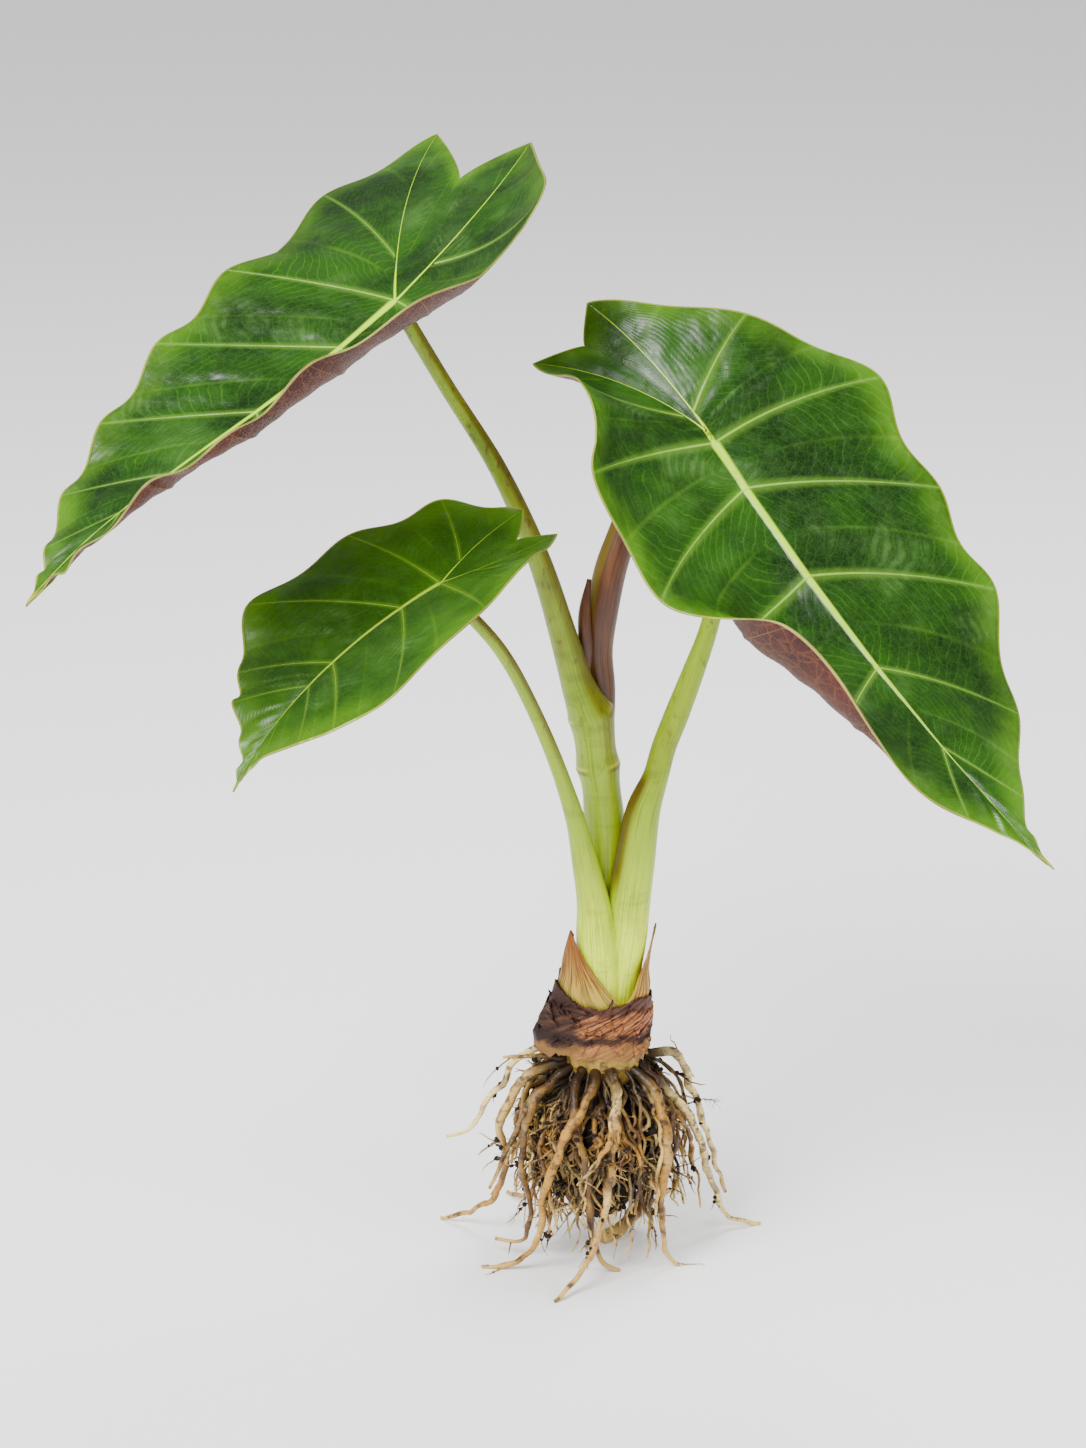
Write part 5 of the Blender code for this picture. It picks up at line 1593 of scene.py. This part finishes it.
def build_soil():
    heights, radii = zip(*SOIL_PROFILE)
    low, high = heights[0], heights[-1]

    def shape(u, v):
        height = low + (high - low) * v
        radius = smooth_row(heights, radii, height)
        azimuth = math.tau * u
        lumps = []
        for a, z, r in zip(azimuth, height, radius):
            spot = Vector((r * math.cos(a), r * math.sin(a), z))
            lumps.append(sum(size * noise.noise(spot * closeness) for size, closeness in SOIL_LUMPS))
        radius = radius + (np.array(lumps) - SOIL_SHRINK) * np.sin(math.pi * v) ** 0.4
        return cylinder_points(np.maximum(radius, 0.5), azimuth, height) + np.array([*SOIL_AXIS, 0]) * MM

    piece, u, v = bent_grid("soil_clump", *SOIL_GRID, shape)
    close_seams(piece, fill=True)
    return piece


# %% Crumbs on the clump and the roots
CRUMBS = 3200
CRUMB_SIZE = (0.35, 1.6)
CRUMB_SHRINK = (0.4, 1)
CRUMB_STRETCH = (0.6, 1.3)
CRUMB_SHAKE = 0.25
CRUMB_ROOT_SHARE = 0.6


def scatter_crumbs(clump, chance):
    """Copies of one small stone on the clump and on the thick roots, joined in one mesh."""
    bpy.ops.object.select_all(action="DESELECT")
    bpy.ops.mesh.primitive_ico_sphere_add(subdivisions=1, radius=1)
    stone = bpy.context.object
    corners = points_of(stone)
    triangles = np.array([tuple(polygon.vertices) for polygon in stone.data.polygons])
    bpy.data.objects.remove(stone, do_unlink=True)
    surface = points_of(clump)
    points = []
    faces = []
    for index in range(CRUMBS):
        if index % 2:
            centre = surface[chance.randrange(len(surface))]
        else:
            root = stems[chance.randrange(len(stems))]
            row = chance.randrange(1, max(2, int(len(root["line"]) * CRUMB_ROOT_SHARE)))
            aside = Vector((chance.uniform(-1, 1), chance.uniform(-1, 1), chance.uniform(-1, 1))).normalized()
            centre = (root["line"][row] + np.array(aside) * root["radii"][row]) * MM
        size = chance.uniform(*CRUMB_SIZE) * chance.uniform(*CRUMB_SHRINK) * MM
        stretch = np.array([chance.uniform(*CRUMB_STRETCH) for _ in range(3)])
        shake = np.array([[chance.uniform(-CRUMB_SHAKE, CRUMB_SHAKE)] for _ in corners])
        shaken = corners * stretch * (1 + shake)
        faces.append(triangles + len(points) * len(corners))
        points.append(centre + shaken * size)
    mesh = bpy.data.meshes.new("soil_crumbs")
    mesh.from_pydata(np.concatenate(points).tolist(), [], np.concatenate(faces).tolist())
    crumbs = bpy.data.objects.new("soil_crumbs", mesh)
    bpy.context.scene.collection.objects.link(crumbs)
    return crumbs


soil_clump = build_soil()
soil_crumbs = scatter_crumbs(soil_clump, random.Random(ROOT_SEED + 5))
print(CRUMBS, "crumbs")

# %% Soil material
soil_dark, tree, shader = new_material("soil_dark", roughness=0.9)
soil_place = object_place(tree)
soil_cloud = use_group(tree, mottling, soil_place, Scale=220.0, Low=0.4, High=0.75)
soil_fine = noise_value(tree, soil_place, 900, 4, 0.65)
soil_shade = covered(
    tree, blend(tree, soil_cloud, srgb(16, 8, 4), srgb(46, 25, 11)),
    (fade(tree, soil_fine, 0.6, 0.72, 0.0, 0.6), 1, srgb(84, 52, 24)))
tree.links.new(soil_shade, shader.inputs["Base Color"])
relief(tree, shader, maths(tree, "ADD", soil_fine, soil_cloud), 1.2 * MM, 1.0)

finish_piece(soil_clump, ["soil"], "soil", soil_dark)
finish_piece(soil_crumbs, [], "soil", soil_dark)

# %% [markdown]
# ## Floor and light
# The plant stands on a plain white studio floor. A large soft lamp in front gives the highlights on
# the glossy blades and a soft shadow round the root tips. Two weaker ones lighten the dark sides,
# and they and the white surroundings hardly show as reflections, which keeps the greens deep.

# %% Floor
FLOOR_SIZE = 12
bpy.ops.object.select_all(action="DESELECT")
bpy.ops.mesh.primitive_plane_add(size=FLOOR_SIZE, location=(0, 0, 0))
floor = bpy.context.object
floor.name = "studio_floor"
floor_paint, tree, shader = new_material("studio_floor", roughness=0.9)
floor_grain = noise_value(tree, object_place(tree), 3, 2)
floor_shade = blend(tree, floor_grain, srgb(250, 250, 250), srgb(253, 253, 253))
tree.links.new(floor_shade, shader.inputs["Base Color"])
floor.data.materials.append(floor_paint)

# %% Soft light from all round, weaker where it would be a reflection
SOFT_LIGHT = 0.95
GLOSSY_LIGHT = 0.2
world = bpy.data.worlds.new("studio")
bpy.context.scene.world = world
world.use_nodes = True
tree = world.node_tree
background = tree.nodes["Background"]
background.inputs["Color"].default_value = (1, 1, 1, 1)
rays = tree.nodes.new("ShaderNodeLightPath")
strength = scaled(tree, rays.outputs["Is Glossy Ray"], GLOSSY_LIGHT - SOFT_LIGHT, SOFT_LIGHT)
tree.links.new(strength, background.inputs["Strength"])
print("surroundings", SOFT_LIGHT, "and", GLOSSY_LIGHT, "in reflections")

# %% Lamps
PLANT_MIDDLE = Vector((-0.02, 0, 0.22))
# Each lamp: name, place, size in metres, power in watts, and whether it shows as a reflection.
LAMPS = (
    ("key", (-0.9, -1.1, 1.5), 1.0, 70, True),
    ("fill", (1.3, -0.9, 0.9), 0.7, 11, False),
    ("top", (0.5, 0.7, 1.7), 0.8, 26, False),
)
for lamp_name, place, size, power, glints in LAMPS:
    bpy.ops.object.light_add(type="AREA", location=place)
    lamp = bpy.context.object
    lamp.name = lamp_name
    lamp.data.size = size
    lamp.data.energy = power
    lamp.visible_glossy = glints
    lamp.rotation_euler = (PLANT_MIDDLE - Vector(place)).to_track_quat("-Z", "Y").to_euler()
print(len(LAMPS), "soft lamps")

# %% Finish
print("finished")
